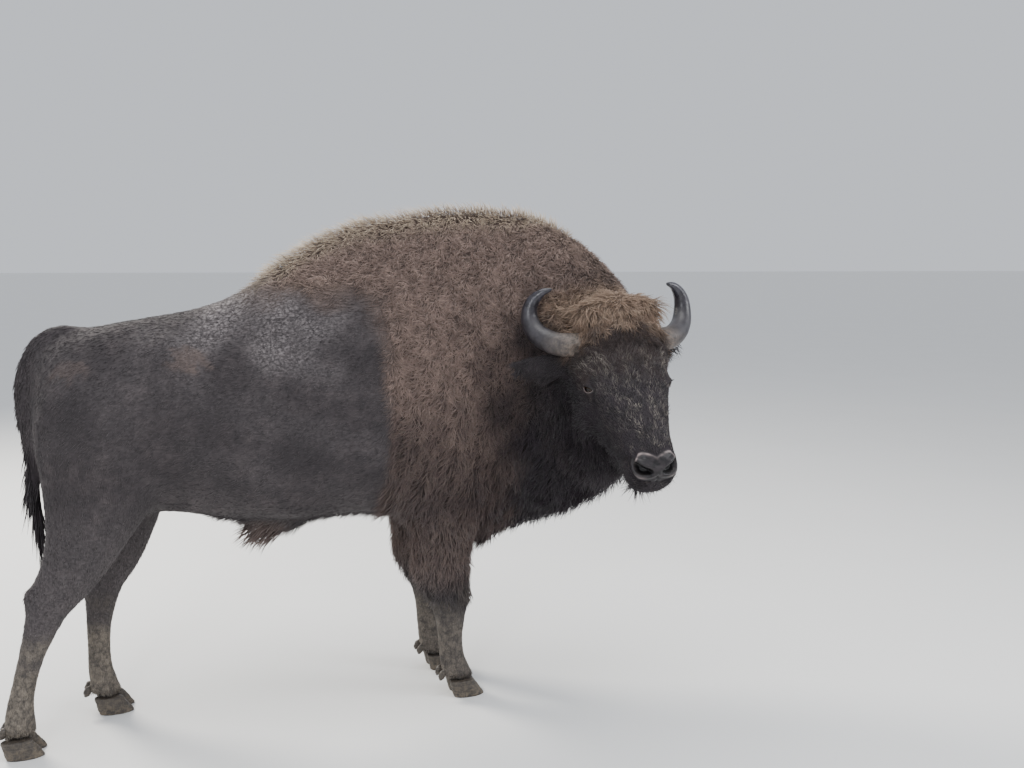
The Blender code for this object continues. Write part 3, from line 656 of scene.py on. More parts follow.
def shape_face(mesh):
    """Splits the skin of muzzle and eyes into finer faces, twice, and sculpts the muzzle in it."""
    bm = bmesh.new()
    bm.from_mesh(mesh)
    for level in range(2):
        centres = np.array([f.calc_center_median() for f in bm.faces])
        fine = needs_detail(centres, level)
        edges = {e for f, wanted in zip(bm.faces, fine) if wanted for e in f.edges}
        bmesh.ops.subdivide_edges(bm, edges=list(edges), cuts=1, use_grid_fill=True, use_single_edge=True)
    bmesh.ops.triangulate(bm, faces=[f for f in bm.faces if len(f.verts) > 4])
    bm.to_mesh(mesh)
    bm.free()
    web = Web(mesh)
    points = places(mesh)
    fine = needs_detail(points).astype(float)
    points = web.smoothed(points, 5, 0.5 * fine)
    points, deep = sculpt_face(points, normals_of(points, triangles_of(mesh)))
    # the nostrils' depth is kept for the painted shade inside them
    hold(mesh, "hollow", deep)
    set_places(mesh, web.smoothed(points, 1, 0.25 * fine))


def open_eyes(mesh):
    """Puts the lids into the skin and smooths the joint round them. Returns where the eyeballs go."""
    bm = bmesh.new()
    bm.from_mesh(mesh)
    under = BVHTree.FromBMesh(bm)
    eyes = {name: eyeball(side, under) for name, side in SIDES.items()}
    for side in SIDES.values():
        lids(bm, side, under)
    bmesh.ops.triangulate(bm, faces=bm.faces)
    bmesh.ops.recalc_face_normals(bm, faces=bm.faces)
    bm.to_mesh(mesh)
    bm.free()
    points = places(mesh)
    round_eyes = np.zeros(len(points))
    for centre, _, _, _, outward in eyes.values():
        local = points - np.array(centre)
        height = local @ np.array(outward)
        off = np.linalg.norm(local - height[:, None] * np.array(outward), axis=1)
        joint = ramp(off, 0.037, 0.041) * ramp(off, 0.064, 0.056) * (np.abs(height) < 0.05)
        round_eyes = np.maximum(round_eyes, joint)
    set_places(mesh, Web(mesh).smoothed(points, 12, 0.5 * round_eyes))
    return eyes


def build_skin():
    skin, surface, part_of = rough_skin()
    shape_face(skin.data)
    eyes = open_eyes(skin.data)
    skin.data.shade_smooth()
    return skin, surface, part_of, eyes


skin, flesh_surface, part_of_face, eyes = build_skin()
skin_points = places(skin.data)
skin_tris = triangles_of(skin.data)
skin_normals = normals_of(skin_points, skin_tris)
skin_web = Web(skin.data)
skin_weights = part_weights(skin_points, flesh_surface, part_of_face, skin_web)
print("skin triangles", len(skin_tris))


# ---- markings and painted light and shade, shared by skin and coat -----------------------------------


HIP_CENTRE, HIP_SIZES = np.array((-0.565, -0.01, 1.30)), np.array((0.055, 0.06, 0.045))
HAUNCH_CENTRE, HAUNCH_SIZES = np.array((-0.93, 0.05, 1.27)), np.array((0.050, 0.07, 0.040))


def on_lower_face(along, left, out):
    return (along > 0.30) & (along < MUZZLE_END) & (np.abs(left) < 0.12) & (out > -0.24) & (out < 0.03)


def bare_share(points):
    """1 where no hair grows: nose pad, lips' edges, and the lids' rims."""
    along, left, out = in_head(points)
    pad = nose_pad(along, left, out)
    level = np.abs(out - mouth_level(along, left))
    lips = ramp(level, 0.008, 0.004) * ramp(along, 0.44, 0.48)
    lower_face = on_lower_face(along, left, out)
    bare = np.maximum(pad, lips) * lower_face
    rim_u, rim_v = lid_rim()
    for side_name, side in SIDES.items():
        near = nostril_field(along, left, out, side)
        bare = np.maximum(bare, ramp(near, 1.75, 1.4) * lower_face)
        centre, _, forward, up, outward = eyes[side_name]
        local = points - np.array(centre)
        u, v, w = local @ np.array(forward), local @ np.array(up), local @ np.array(outward)
        near_eye = np.hypot(u, v) < 0.05
        gap = np.hypot(u[near_eye][:, None] - rim_u[None], v[near_eye][:, None] - rim_v[None]).min(1)
        close = ramp(gap, 0.0060, 0.0042) * ((w[near_eye] > -0.02) & (w[near_eye] < 0.05))
        bare[near_eye] = np.maximum(bare[near_eye], close)
    return bare


def pale_rim_and_glint_share(points):
    """1 on the pale, moist edges, painted paler as a highlight of wet skin lit from above: the nose pad's
    upper rim, the nostrils' lower rims, and the lower lids.
    """
    along, left, out = in_head(points)
    lower_face = on_lower_face(along, left, out)
    off = np.abs(left)
    # the pad's upper rim: a painted reflection of light from above on the wet edge
    band = bell((along - pad_edge(left) - 0.007) / 0.0042) * ramp(out, -0.075, -0.050)
    band = band * (0.50 + 0.50 * ramp(off, 0.010, 0.035)) * (0.72 + 0.28 * waves(points, 0.018, 22))
    pale_rim_and_glint = band * ramp(off, 0.078, 0.066) * lower_face
    rim_u, rim_v = lid_rim()
    for side_name, side in SIDES.items():
        near = nostril_field(along, left, out, side)
        # the nostrils' lower rims: a painted glint on wet skin
        under = bell((near - 1.40) / 0.26) * ramp(out, NOSTRIL_PLACE[2] - 0.003, NOSTRIL_PLACE[2] - 0.010)
        nostril = 0.42 * under * lower_face * ramp(off, 0.030, 0.050) * ramp(off, 0.078, 0.064)
        pale_rim_and_glint = np.maximum(pale_rim_and_glint, nostril)
        centre, _, forward, up, _ = eyes[side_name]
        local = points - np.array(centre)
        near_eye = np.linalg.norm(local, axis=1) < 0.05
        u, v = local[near_eye] @ np.array(forward), local[near_eye] @ np.array(up)
        gap = np.hypot(u[:, None] - rim_u[None], v[:, None] - rim_v[None])
        nearest = gap.argmin(1)
        lower = rim_v[nearest] - math.tan(EYE_TILT) * rim_u[nearest] < 0.001
        pale_rim_and_glint[near_eye] = np.maximum(pale_rim_and_glint[near_eye], ramp(gap.min(1), 0.0024, 0.0012) * lower)
    return pale_rim_and_glint


def fleck_and_glint_share(points):
    """How many pale hairs stand among the dark ones of the face, brightened as painted glints of light: most
    on the brows and down the nose.
    """
    along, left, out = in_head(points)
    cloudy = ramp(waves(points, 0.045, 15), -0.6, 0.8)
    all_over = 0.30 * ramp(along, 0.06, 0.12) * ramp(out, -0.16, -0.08)
    brow = bell((along - 0.115) / 0.045, (np.abs(left) - 0.120) / 0.040) * ramp(out, -0.13, -0.07)
    bridge = bell((along - 0.310) / 0.130, left / 0.085) * ramp(out, -0.10, -0.03)
    return np.clip(cloudy * (all_over + 0.95 * brow + 0.75 * bridge), 0, 1)


def crown_share(points, part):
    """1 on the pale wool of the crown between the horns, and a little on the forehead."""
    along, left, out = in_head(points)
    edge = along + 0.020 * waves(points, 0.05, 5)
    crown = part["head"] + part["neck"] * ramp(along, -0.30, -0.20)
    crown = crown * ramp(edge, 0.050, -0.052) * ramp(out, -0.12, -0.04)
    crown = crown * ramp(np.abs(left), 0.245, 0.195)
    forehead = 0.10 * part["head"] * ramp(edge, 0.24, 0.08) * ramp(out, -0.14, -0.06)
    return np.maximum(crown, forehead)


def dark_share(points, part, mane):
    """1 where the coat is nearly black: throat, chest, nape, face and tail, less on ears and cheeks; it also
    carries painted shade on the neck behind the crown and in the tail's crease on the rump.
    """
    x, _, z = points.T
    along, left, out = in_head(points)
    ragged = z + 0.03 * waves(points, 0.2, 17)
    low = ramp(z + 0.05 * waves(points, 0.35, 6), 1.24, 0.84)
    ahead = x - 0.06 * ramp(z, 0.9, 1.3) + 0.05 * waves(points, 0.20, 7)
    throat = ramp(ahead, 0.22, 0.64) * ramp(ragged, 1.54, 1.22)
    dark = np.maximum((0.74 - 0.16 * part["leg_front"]) * low, throat) * mane
    nape = ramp(ragged, 1.60, 1.28) * ramp(x + 0.05 * waves(points, 0.12, 18), 0.34, 0.70)
    dark = np.maximum(dark, part["neck"] * nape)
    # painted shade in the hollow of the neck just behind the crown
    painted_shade_behind_crown = bell((along + 0.30) / 0.06, left / 0.20) * ramp(out, -0.22, -0.08)
    dark = dark + 0.40 * part["neck"] * painted_shade_behind_crown
    face = part["head"] * ramp(along + 0.014 * waves(points, 0.07, 5), -0.045, 0.010) + part["ear"]
    cheek = 0.05 + 0.10 * ramp(out, -0.07, -0.14)
    dark = dark + face - 0.66 * part["ear"] - cheek * part["head"]
    # tail: near-black hair on the switch; on the dock darker hair, and painted shade in the crease where it
    # lies on the rump
    return dark + 0.85 * part["tail_switch"] + 0.55 * part["tail_dock"]


def rim_lit_ridge_share(points, normals, part, mane, crown):
    """1 on the pale tips along the top of hump and neck, brightened as painted rim light from behind, and a
    little on what looks upwards in the mane, as a painted highlight from above.
    """
    x, y, _ = points.T
    top = ramp(off_ridge(y), 0.095, 0.030) * ramp(normals[:, 2], 0.35, 0.80)
    ridge = top * ramp(x, -0.42, -0.22) * np.clip(part["trunk"] + part["neck"], 0, 1) * (1 - crown)
    # the share on wool that faces upwards is a painted highlight
    return np.clip(ridge + 0.14 * mane * ramp(normals[:, 2], 0.45, 0.9), 0, 1)


def rusty_share(points):
    """1 on the rusty patch at the hip bone, and about half on the one at the haunch."""
    hip = np.linalg.norm((points - HIP_CENTRE) / HIP_SIZES, axis=1)
    hip = ramp(hip + 0.25 * waves(points, 0.05, 10), 1.30, 0.70)
    haunch = np.linalg.norm((points - HAUNCH_CENTRE) / HAUNCH_SIZES, axis=1)
    return np.maximum(hip, 0.55 * ramp(haunch + 0.30 * waves(points, 0.05, 11), 1.30, 0.60))


def dust_share(points, part, mane, rusty):
    """1 on the dusty back behind the hump, and a little on the rest of the short coat and the hind legs."""
    x, _, z = points.T
    back = ramp(x, -0.80, -0.45) * ramp(x + 0.04 * waves(points, 0.15, 16), -0.04, -0.26)
    back = back * ramp(z, 1.16, 1.40)
    cloudy = ramp(waves(points, 0.24, 9), -1.6, 1.3)
    dust = part["trunk"] * (1 - mane) * np.clip(0.10 + 0.96 * back, 0, 1) * cloudy
    on_leg = 0.19 * part["leg_hind"] * ramp(z, 0.95, 0.60)
    return np.clip(dust * (1 - 0.6 * rusty) + 0.12 * part["tail_dock"] + on_leg, 0, 1)


def mud_share(points, part):
    """1 on the caked lower legs."""
    height = points[:, 2] + 0.03 * waves(points, 0.12, 8)
    lower_leg = (part["leg_front"] + part["leg_hind"]) * ramp(height, 0.46, 0.24)
    return np.clip(lower_leg * (1 - 0.3 * part["leg_front"]), 0, 1)


def markings(points, normals, weights):
    """The shares of each colour of the coat at the points, painted light and shade among them."""
    part = dict(zip(PARTS, weights.T))
    x, y, z = points.T
    mane = mane_share(points, weights)
    crown = crown_share(points, part)
    rusty = rusty_share(points)
    sheath = ramp(off_sheath(x, y), 0.11, 0.04) * ramp(z, 0.82, 0.72)
    # the nostrils' insides get painted shade, near black, from this share
    hollow = held(skin.data, "hollow")  # inside the nostrils
    return {
        "mane": np.clip(mane + 0.34 * rusty + 0.40 * sheath, 0, 1),
        "dark": np.clip(dark_share(points, part, mane), 0, 1),
        "crown": np.clip(crown, 0, 1),
        "ridge": rim_lit_ridge_share(points, normals, part, mane, crown),
        "dust": dust_share(points, part, mane, rusty),
        "mud": mud_share(points, part),
        "bare": np.maximum(bare_share(points), hollow),
        "pale_rim_and_glint": pale_rim_and_glint_share(points),
        "hollow": hollow,
        "face": part["head"],
        "fleck_and_glint": part["head"] * fleck_and_glint_share(points),
    }


skin_marks = markings(skin_points, skin_normals, skin_weights)
for mark, share in skin_marks.items():
    hold(skin.data, mark, share)


# ---- how the coat lies -------------------------------------------------------------------------------


def lie_on_head(points):
    """Down the face, away from the middle of the crown, and straight down from the jaw."""
    along, left, out = in_head(points)
    one = np.ones((len(points), 1))
    face = -ALONG_FACE * one + LEFT_OF_HEAD * (left * 2.5)[:, None]
    face = face - OUT_OF_FACE * ramp(out, -0.08, -0.20)[:, None] * 0.7
    from_middle = along + 0.115
    mop = ALONG_FACE * (from_middle * 9)[:, None] + LEFT_OF_HEAD * (left * 5.5)[:, None]
    mop = mop - np.array((0, 0, 0.25))
    beard = np.array((0.0, 0.0, -1.0)) * one - 0.25 * ALONG_FACE
    crown = (ramp(along, 0.075, 0.015) * ramp(out, -0.15, -0.04))[:, None]
    jaw = ramp(out, -0.17, -0.23)[:, None]
    head = face * (1 - crown) + mop * crown
    return head * (1 - jaw) + beard * jaw


def lie_of_coat(points, normals, weights):
    """The direction in which the hair lies at each point, along the skin."""
    part = {name: share[:, None] for name, share in zip(PARTS, weights.T)}
    x, y, z = points.T
    left = in_head(points)[1]
    one = np.ones((len(points), 1))
    body = np.array((-0.90, 0.0, -0.42)) * one
    body[:, 2] -= 0.5 * ramp(x, -0.55, -0.85)
    back = ramp(x, 0.35, 0.0) * ramp(z, 1.25, 1.45)
    parted = 0.25 * np.sign(y - MIDLINE_Y) * ramp(normals[:, 2], 0.2, 0.9)
    mane = np.stack([-0.50 - 0.45 * back, parted, -0.80 + 0.45 * back], 1)
    share = mane_share(points, weights)[:, None]
    trunk = body * (1 - share) + mane * share
    leg = np.array((-0.12, 0.0, -1.0)) * one
    ear = np.sign(left)[:, None] * LEFT_OF_HEAD - 0.15 * ALONG_FACE - np.array((0, 0, 0.55))
    tail = np.array((-0.25, 0.0, -1.0)) * one
    tail[:, 0] -= 1.2 * ramp(z, 1.33, 1.39)
    lie = (
        trunk * part["trunk"]
        + mane * part["neck"]
        + leg * (part["leg_front"] + part["leg_hind"])
        + lie_on_head(points) * part["head"]
        + ear * part["ear"]
        + tail * (part["tail_dock"] + part["tail_switch"])
    )
    lie -= normals * dot(lie, normals)[:, None]
    return unit(lie)


def kind(*sizes):
    return np.array((sizes,))


# Length, width, lift from the skin in degrees, spacing, waviness and hang of each kind of tuft.
SHORT_HAIR = kind(0.0240, 0.0031, 11.0, 0.0087, 0.14, 0.00)
BELLY_HAIR = kind(0.0460, 0.0034, 15.0, 0.0080, 0.25, 0.70)
WOOL = kind(0.0370, 0.0027, 27.0, 0.0049, 0.78, 0.05)
LOW_WOOL = kind(0.0520, 0.0031, 21.0, 0.0056, 0.60, 0.15)
RIDGE_HAIR = kind(0.0700, 0.0026, 50.0, 0.0054, 0.25, 0.00)
THROAT_HAIR = kind(0.0900, 0.0038, 17.0, 0.0075, 0.42, 0.35)
SHEATH_HAIR = kind(0.1050, 0.0044, 14.0, 0.0080, 0.30, 1.10)
SHIN_HAIR = kind(0.0130, 0.0022, 10.0, 0.0056, 0.05, 0.00)
CORONET_HAIR = kind(0.0240, 0.0026, 18.0, 0.0048, 0.15, 0.20)
FOREARM_HAIR = kind(0.0540, 0.0036, 18.0, 0.0066, 0.40, 0.25)
CREST_HAIR = kind(0.0480, 0.0029, 27.0, 0.0046, 0.66, 0.20)
CREST_SIDE_HAIR = kind(0.0760, 0.0030, 32.0, 0.0048, 0.60, 0.15)
FOREHEAD_HAIR = kind(0.0370, 0.0027, 22.0, 0.0048, 0.60, 0.20)
LID_HAIR = kind(0.0065, 0.0013, 8.0, 0.0031, 0.05, 0.00)
FACE_HAIR = kind(0.0175, 0.0017, 13.0, 0.0035, 0.30, 0.00)
BROW_HAIR = kind(0.0270, 0.0021, 21.0, 0.0040, 0.55, 0.05)
CHEEK_HAIR = kind(0.0420, 0.0026, 18.0, 0.0050, 0.42, 0.30)
BEARD_HAIR = kind(0.1050, 0.0036, 20.0, 0.0070, 0.45, 0.80)
EAR_HAIR = kind(0.0310, 0.0023, 20.0, 0.0045, 0.40, 0.45)
EAR_FRINGE = kind(0.0560, 0.0025, 16.0, 0.0048, 0.40, 0.90)
DOCK_HAIR = kind(0.0340, 0.0032, 12.0, 0.0064, 0.16, 0.30)
SWITCH_HAIR = kind(0.1500, 0.0042, 4.0, 0.0068, 0.14, 1.60)


def between(first, second, share):
    return first + (second - first) * share[:, None]


def head_sizes(points):
    """The sizes of the tufts on the head."""
    along, left, out = in_head(points)
    crest = ramp(along, 0.045, -0.015) * ramp(out, -0.15, -0.04)
    head = between(FACE_HAIR, BROW_HAIR, ramp(along, 0.26, 0.12))
    head = between(head, CHEEK_HAIR, ramp(out, -0.10, -0.18) * ramp(along, 0.42, 0.32))
    head = between(head, FOREHEAD_HAIR, ramp(along, 0.10, 0.05) * ramp(out, -0.15, -0.06))
    head = between(head, CREST_HAIR, crest)
    head = between(head, CREST_SIDE_HAIR, crest * ramp(np.abs(left), 0.085, 0.135))
    head = between(head, BEARD_HAIR, ramp(out, -0.172, -0.222) * ramp(along, 0.53, 0.45))
    for side in SIDES.values():
        u, v, w = eye_coordinates(points, side)
        head = between(head, LID_HAIR, ramp(np.hypot(u * 0.85, v), 0.058, 0.030) * (np.abs(w) < 0.09))
    return head


def coat_sizes(points, normals, weights):
    """The sizes of the tufts at each point, blended between the kinds: one row for each size."""
    part = {name: share[:, None] for name, share in zip(PARTS, weights.T)}
    x, y, z = points.T
    upwards = normals[:, 2]
    mane = mane_share(points, weights)
    low = ramp(z, 1.00, 0.72) * ramp(upwards, 0.25, -0.25)
    chest = np.maximum(low, ramp(x, 0.45, 0.62) * ramp(z, 1.12, 0.95))
    maned = between(between(WOOL, LOW_WOOL, ramp(z, 1.30, 1.00)), THROAT_HAIR, chest)
    trunk = SHORT_HAIR * (1 - mane[:, None]) + maned * mane[:, None]
    under = ramp(np.abs(y - MIDLINE_Y), 0.13, 0.05) * ramp(upwards, -0.45, -0.85) * (1 - mane)
    trunk = between(trunk, BELLY_HAIR, under * ramp(x, -0.56, -0.44))
    top = ramp(off_ridge(y), 0.060, 0.020) * ramp(upwards, 0.45, 0.80) * mane
    trunk = between(trunk, RIDGE_HAIR, top)
    trunk = between(trunk, SHEATH_HAIR, ramp(off_sheath(x, y), 0.075, 0.035) * ramp(z, 0.80, 0.72))
    foot = between(SHIN_HAIR, CORONET_HAIR, ramp(z, 0.105, 0.080))
    sizes = (
        trunk * part["trunk"]
        + between(maned, RIDGE_HAIR, top) * part["neck"]
        + between(foot, FOREARM_HAIR, ramp(z, 0.32, 0.42)) * part["leg_front"]
        + between(SHORT_HAIR, foot, ramp(z, 0.46, 0.36)) * part["leg_hind"]
        + head_sizes(points) * part["head"]
        + between(EAR_HAIR, EAR_FRINGE, ramp(upwards, -0.10, -0.60)) * part["ear"]
        + DOCK_HAIR * part["tail_dock"]
        + SWITCH_HAIR * part["tail_switch"]
    )
    return sizes.T


skin_lie = lie_of_coat(skin_points, skin_normals, skin_weights)
skin_lie = skin_web.smoothed(skin_lie, 8)
skin_lie -= skin_normals * dot(skin_lie, skin_normals)[:, None]
skin_lie = unit(skin_lie)
skin_sizes = coat_sizes(skin_points, skin_normals, skin_weights)


def unwrap_skin():
    """An unwrap of the skin's own shape, at which each tuft finds its place; one place for each corner."""
    bpy.ops.object.select_all(action="DESELECT")
    bpy.context.view_layer.objects.active = skin
    skin.select_set(True)
    skin.data.uv_layers.new(name="hide_map")
    bpy.ops.object.mode_set(mode="EDIT")
    bpy.ops.mesh.select_all(action="SELECT")
    bpy.ops.uv.smart_project(angle_limit=math.radians(66), island_margin=0.002)
    bpy.ops.object.mode_set(mode="OBJECT")
    flat = np.empty(len(skin.data.loops) * 2)
    skin.data.uv_layers["hide_map"].data.foreach_get("uv", flat)
    loops = np.empty(len(skin.data.loop_triangles) * 3, np.int64)
    skin.data.calc_loop_triangles()
    skin.data.loop_triangles.foreach_get("loops", loops)
    return flat.reshape(-1, 2)[loops].reshape(-1, 3, 2)


skin_map = unwrap_skin()


def rotated(vectors, axes, angles):
    """Each vector turned about its axis, which is square to it."""
    return vectors * np.cos(angles)[:, None] + np.cross(axes, vectors) * np.sin(angles)[:, None]


class Roots:
    """Where tufts grow: places spread evenly over the skin, and all that the tufts there need to know."""

    def __init__(self, seed, kept):
        rng = np.random.default_rng(seed)
        first, second, third = (skin_points[skin_tris[:, corner]] for corner in range(3))
        area = np.linalg.norm(np.cross(second - first, third - first), axis=1) / 2
        spacing = skin_sizes[3][skin_tris].mean(1)
        haired = 1 - skin_marks["bare"][skin_tris].max(1)
        wanted = np.cumsum(area / spacing**2 * kept * (haired > 0.5))
        ticks = np.floor(wanted + rng.uniform()).astype(int)
        counts = np.diff(ticks, prepend=ticks[0])
        face = np.repeat(np.arange(len(skin_tris)), counts)
        a, b = rng.uniform(size=(2, len(face)))
        over = a + b > 1
        a, b = np.where(over, 1 - a, a), np.where(over, 1 - b, b)
        shares = np.stack([1 - a - b, a, b], 1)
        self.face, self.shares, self.count = face, shares, len(face)
        self.points = self.from_corners(skin_points)
        self.normals = unit(self.from_corners(skin_normals))
        lie = self.from_corners(skin_lie)
        self.lie = unit(lie - self.normals * dot(lie, self.normals)[:, None])
        self.weights = self.from_corners(skin_weights)
        sizes = self.from_corners(skin_sizes.T).T
        self.length, self.width, self.lift, _, self.wave, self.hang = sizes
        self.marks = {name: self.from_corners(share) for name, share in skin_marks.items()}
        self.uv = (skin_map[face] * shares[:, :, None]).sum(1)

    def from_corners(self, values):
        """Values of the skin's vertices, blended at each root."""
        at = values[skin_tris[self.face]]
        return (at * (self.shares[:, :, None] if at.ndim == 3 else self.shares)).sum(1)

    def chosen(self, mask):
        """The roots for which the mask is true."""
        part = Roots.__new__(Roots)
        for name, value in self.__dict__.items():
            if name == "count":
                part.count = int(mask.sum())
            elif name == "marks":
                part.marks = {k: v[mask] for k, v in value.items()}
            else:
                setattr(part, name, value[mask])
        return part


TUFTS_IN_A_LOCK = 11
ROOT_SHARE = 0.12  # of a tuft's length that is under the skin
ROOT_DEEPEST = 0.0045
TUFT_RINGS = {2: (0.36,), 3: (0.24, 0.60)}  # shares of the length, in a tuft of two or three stretches
RING_WIDTHS = (1.0, 0.84)  # shares of the tuft's width
UV_PATCH = 0.003  # across the patch of the map that a tuft has
HIDE_ONLY = ("bare", "pale_rim_and_glint", "hollow", "face")  # markings that the tufts' material doesn't read
MOST_TRIANGLES = 190_000  # of one piece


def locks(roots, rng):
    """The lock that each tuft belongs to, and the way from its root to the middle of that lock."""
    middles = np.sort(rng.choice(roots.count, max(1, roots.count // TUFTS_IN_A_LOCK), replace=False))
    tree = KDTree(len(middles))
    for i in middles:
        tree.insert(roots.points[i], int(i))
    tree.balance()
    nearest = np.array([tree.find(p)[1] for p in roots.points])
    return nearest, roots.points[nearest] - roots.points


def tuft_lines(roots, steps, rng):
    """The points of each tuft's middle line, the directions between them, and the tuft's width."""
    n = roots.count
    normal, wave = roots.normals, roots.wave
    lock, to_lock = locks(roots, rng)
    to_lock = to_lock * (0.60 * np.minimum(wave, 0.75))[:, None]
    of_lock = rng.normal(size=n)[lock]
    broad, small = waves(roots.points, 0.10, 31), waves(roots.points, 0.035, 32)
    swirl = np.radians(38) * wave * broad + np.radians(30) * wave * small
    stray = rng.normal(size=n) * np.radians(6 + 10 * wave) + of_lock * np.radians(28 * wave)
    lie = rotated(roots.lie, normal, swirl + stray)
    side = np.cross(lie, normal)
    length = roots.length * rng.uniform(0.72, 1.25, n)
    width = roots.width * rng.uniform(0.75, 1.25, n)
    lift = np.radians(roots.lift * rng.uniform(0.55, 1.45, n))
    lift = lift + 0.25 * wave * waves(roots.points, 0.05, 33) * lift
    bend = (0.8 * rng.normal(size=n) + rng.normal(size=n)[lock]) * wave
    ends = (0.0, *TUFT_RINGS[steps], 1.0)
    place = roots.points - normal * np.minimum(ROOT_SHARE * length, ROOT_DEEPEST)[:, None]
    line, headings = [place], []
    for near, far in zip(ends, ends[1:]):
        mid = (near + far) / 2
        angle = lift * (1.65 - 1.35 * mid)
        turn = bend * (mid - 0.35) * 1.3
        heading = lie * (np.cos(angle) * np.cos(turn))[:, None]
        heading = heading + side * (np.cos(angle) * np.sin(turn))[:, None] + normal * np.sin(angle)[:, None]
        heading[:, 2] -= roots.hang * mid
        heading = unit(heading)
        headings.append(heading)
        place = place + heading * (length * (far - near))[:, None] + to_lock * (2 * mid * (far - near))
        line.append(place)
    return line, headings, width


def tuft_corners(roots, steps, rng):
    """The corners of each tuft: one under the skin, three round each ring, and one at the tip."""
    line, headings, width = tuft_lines(roots, steps, rng)
    verts = np.empty((roots.count, 3 * steps - 1, 3))
    verts[:, 0], verts[:, -1] = line[0], line[-1]
    for k in range(1, steps):
        along = unit(headings[k - 1] + headings[k])
        across = unit(np.cross(along, roots.normals) + 1e-6)
        up = np.cross(across, along)
        half = (width / 2 * RING_WIDTHS[k - 1])[:, None]
        verts[:, 3 * k - 2] = line[k] - across * half
        verts[:, 3 * k - 1] = line[k] + up * half * 0.75
        verts[:, 3 * k] = line[k] + across * half
    return verts


def tuft_faces(count, steps):
    """The corners of all faces one after another, quads before triangles, and where each face starts."""
    per = 3 * steps - 1
    round_it = ((0, 1), (1, 2), (2, 0))
    tris = [(0, 1 + j, 1 + i) for i, j in round_it]
    quads = []
    for k in range(1, steps - 1):
        here, beyond = 3 * k - 2, 3 * k + 1
        quads += [(here + j, beyond + j, beyond + i, here + i) for i, j in round_it]
    last = per - 4
    tris += [(last + j, per - 1, last + i) for i, j in round_it]
    start = (np.arange(count) * per)[:, None, None]
    quad_loops = (start + np.array(quads, int).reshape(1, -1, 4)).reshape(-1)
    tri_loops = (start + np.array(tris).reshape(1, -1, 3)).reshape(-1)
    tri_starts = len(quad_loops) + np.arange(len(tri_loops) // 3) * 3
    starts = np.concatenate([np.arange(len(quad_loops) // 4) * 4, tri_starts])
    return np.concatenate([quad_loops, tri_loops]).astype(np.int32), starts.astype(np.int32)


def tuft_mesh(name, roots, steps, seed):
    """One mesh of closed, three-sided spindles that rise from under the skin and bend into the lie."""
    rng = np.random.default_rng(seed)
    n, per = roots.count, 3 * steps - 1
    verts = tuft_corners(roots, steps, rng)
    loops, starts = tuft_faces(n, steps)
    mesh = bpy.data.meshes.new(name)
    mesh.vertices.add(n * per)
    mesh.loops.add(len(loops))
    mesh.polygons.add(len(starts))
    mesh.vertices.foreach_set("co", verts.astype(np.float32).ravel())
    mesh.loops.foreach_set("vertex_index", loops)
    mesh.polygons.foreach_set("loop_start", starts)
    mesh.update(calc_edges=True)
    mesh.shade_smooth()
    rows = np.concatenate([[0.0], np.repeat(TUFT_RINGS[steps], 3), [1.0]])
    flat_u = np.concatenate([[0.0], np.tile((-0.5, 0.0, 0.5), steps - 1), [0.0]])
    flat_v = rows - 0.5 + np.concatenate([[0.0], np.tile((0.0, 0.12, 0.0), steps - 1), [0.0]])
    flat = roots.uv[:, None, :] + UV_PATCH * np.stack([flat_u, flat_v], 1)[None]
    layer = mesh.uv_layers.new(name="OFBake")
    layer.data.foreach_set("uv", flat.reshape(-1, 2)[loops].astype(np.float32).ravel())
    for mark, share in roots.marks.items():
        if mark not in HIDE_ONLY:
            hold(mesh, mark, np.repeat(share, per))
    hold(mesh, "tone", np.repeat(rng.uniform(size=n), per))
    hold(mesh, "tip", np.tile(rows, n))
    return mesh


def coat_pieces(name, roots, steps, seed):
    """The coat of one region, in as many pieces as the limit on each asks for, from the rear forwards."""
    each = 6 * (steps - 1)
    pieces = max(1, math.ceil(roots.count * each / MOST_TRIANGLES))
    order = np.argsort(roots.points[:, 0], kind="stable")
    made = []
    for k, chunk in enumerate(np.array_split(order, pieces)):
        mask = np.zeros(roots.count, bool)
        mask[chunk] = True
        label = f"{name}_{k + 1}" if pieces > 1 else name
        mesh = tuft_mesh(label, roots.chosen(mask), steps, seed + k)
        piece = new_object(label, mesh)
        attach(piece, "root")
        made.append(piece)
        print(label, mask.sum(), "tufts", mask.sum() * each, "triangles")
    return made


LONG_HAIR, VERY_LONG_HAIR = 0.0335, 0.0705  # tufts longer than this go to pieces of their own


def grow_coat():
    """The whole coat: head, then short coat and wool of each side, then the locks that hang."""
    roots = Roots(11, 1.0)
    part = dict(zip(PARTS, roots.weights.T))
    dither = np.random.default_rng(12).uniform(-0.15, 0.15, roots.count)
    fine_wool = np.random.default_rng(13).uniform(size=roots.count) < 0.5
    on_head_part = part["head"] + part["ear"] + dither * 0.3 > 0.5
    longer = roots.length + dither * 0.01 > LONG_HAIR
    very_long = roots.length > VERY_LONG_HAIR
    crest_and_brow = roots.chosen(on_head_part & longer & ~very_long)
    made = [
        *coat_pieces("face_coat", roots.chosen(on_head_part & ~longer), 2, 100),
        *coat_pieces("crest_and_brow", crest_and_brow, 3, 105),
        *coat_pieces("beard", roots.chosen(on_head_part & very_long), 3, 110),
    ]
    body = ~on_head_part
    on_left = roots.points[:, 1] > MIDLINE_Y
    for side_name, of_side in (("left", on_left), ("right", ~on_left)):
        short = roots.chosen(body & ~longer & of_side)
        made += coat_pieces(f"short_coat_{side_name}", short, 2, 120)
        woolly = body & longer & ~very_long & of_side
        made += coat_pieces(f"wool_{side_name}", roots.chosen(woolly & fine_wool), 2, 130)
        made += coat_pieces(f"mane_{side_name}", roots.chosen(woolly & ~fine_wool), 3, 140)
    return made + coat_pieces("throat_and_belly_locks", roots.chosen(body & very_long), 3, 160)


coat = grow_coat()


# ---- materials ---------------------------------------------------------------------------------------


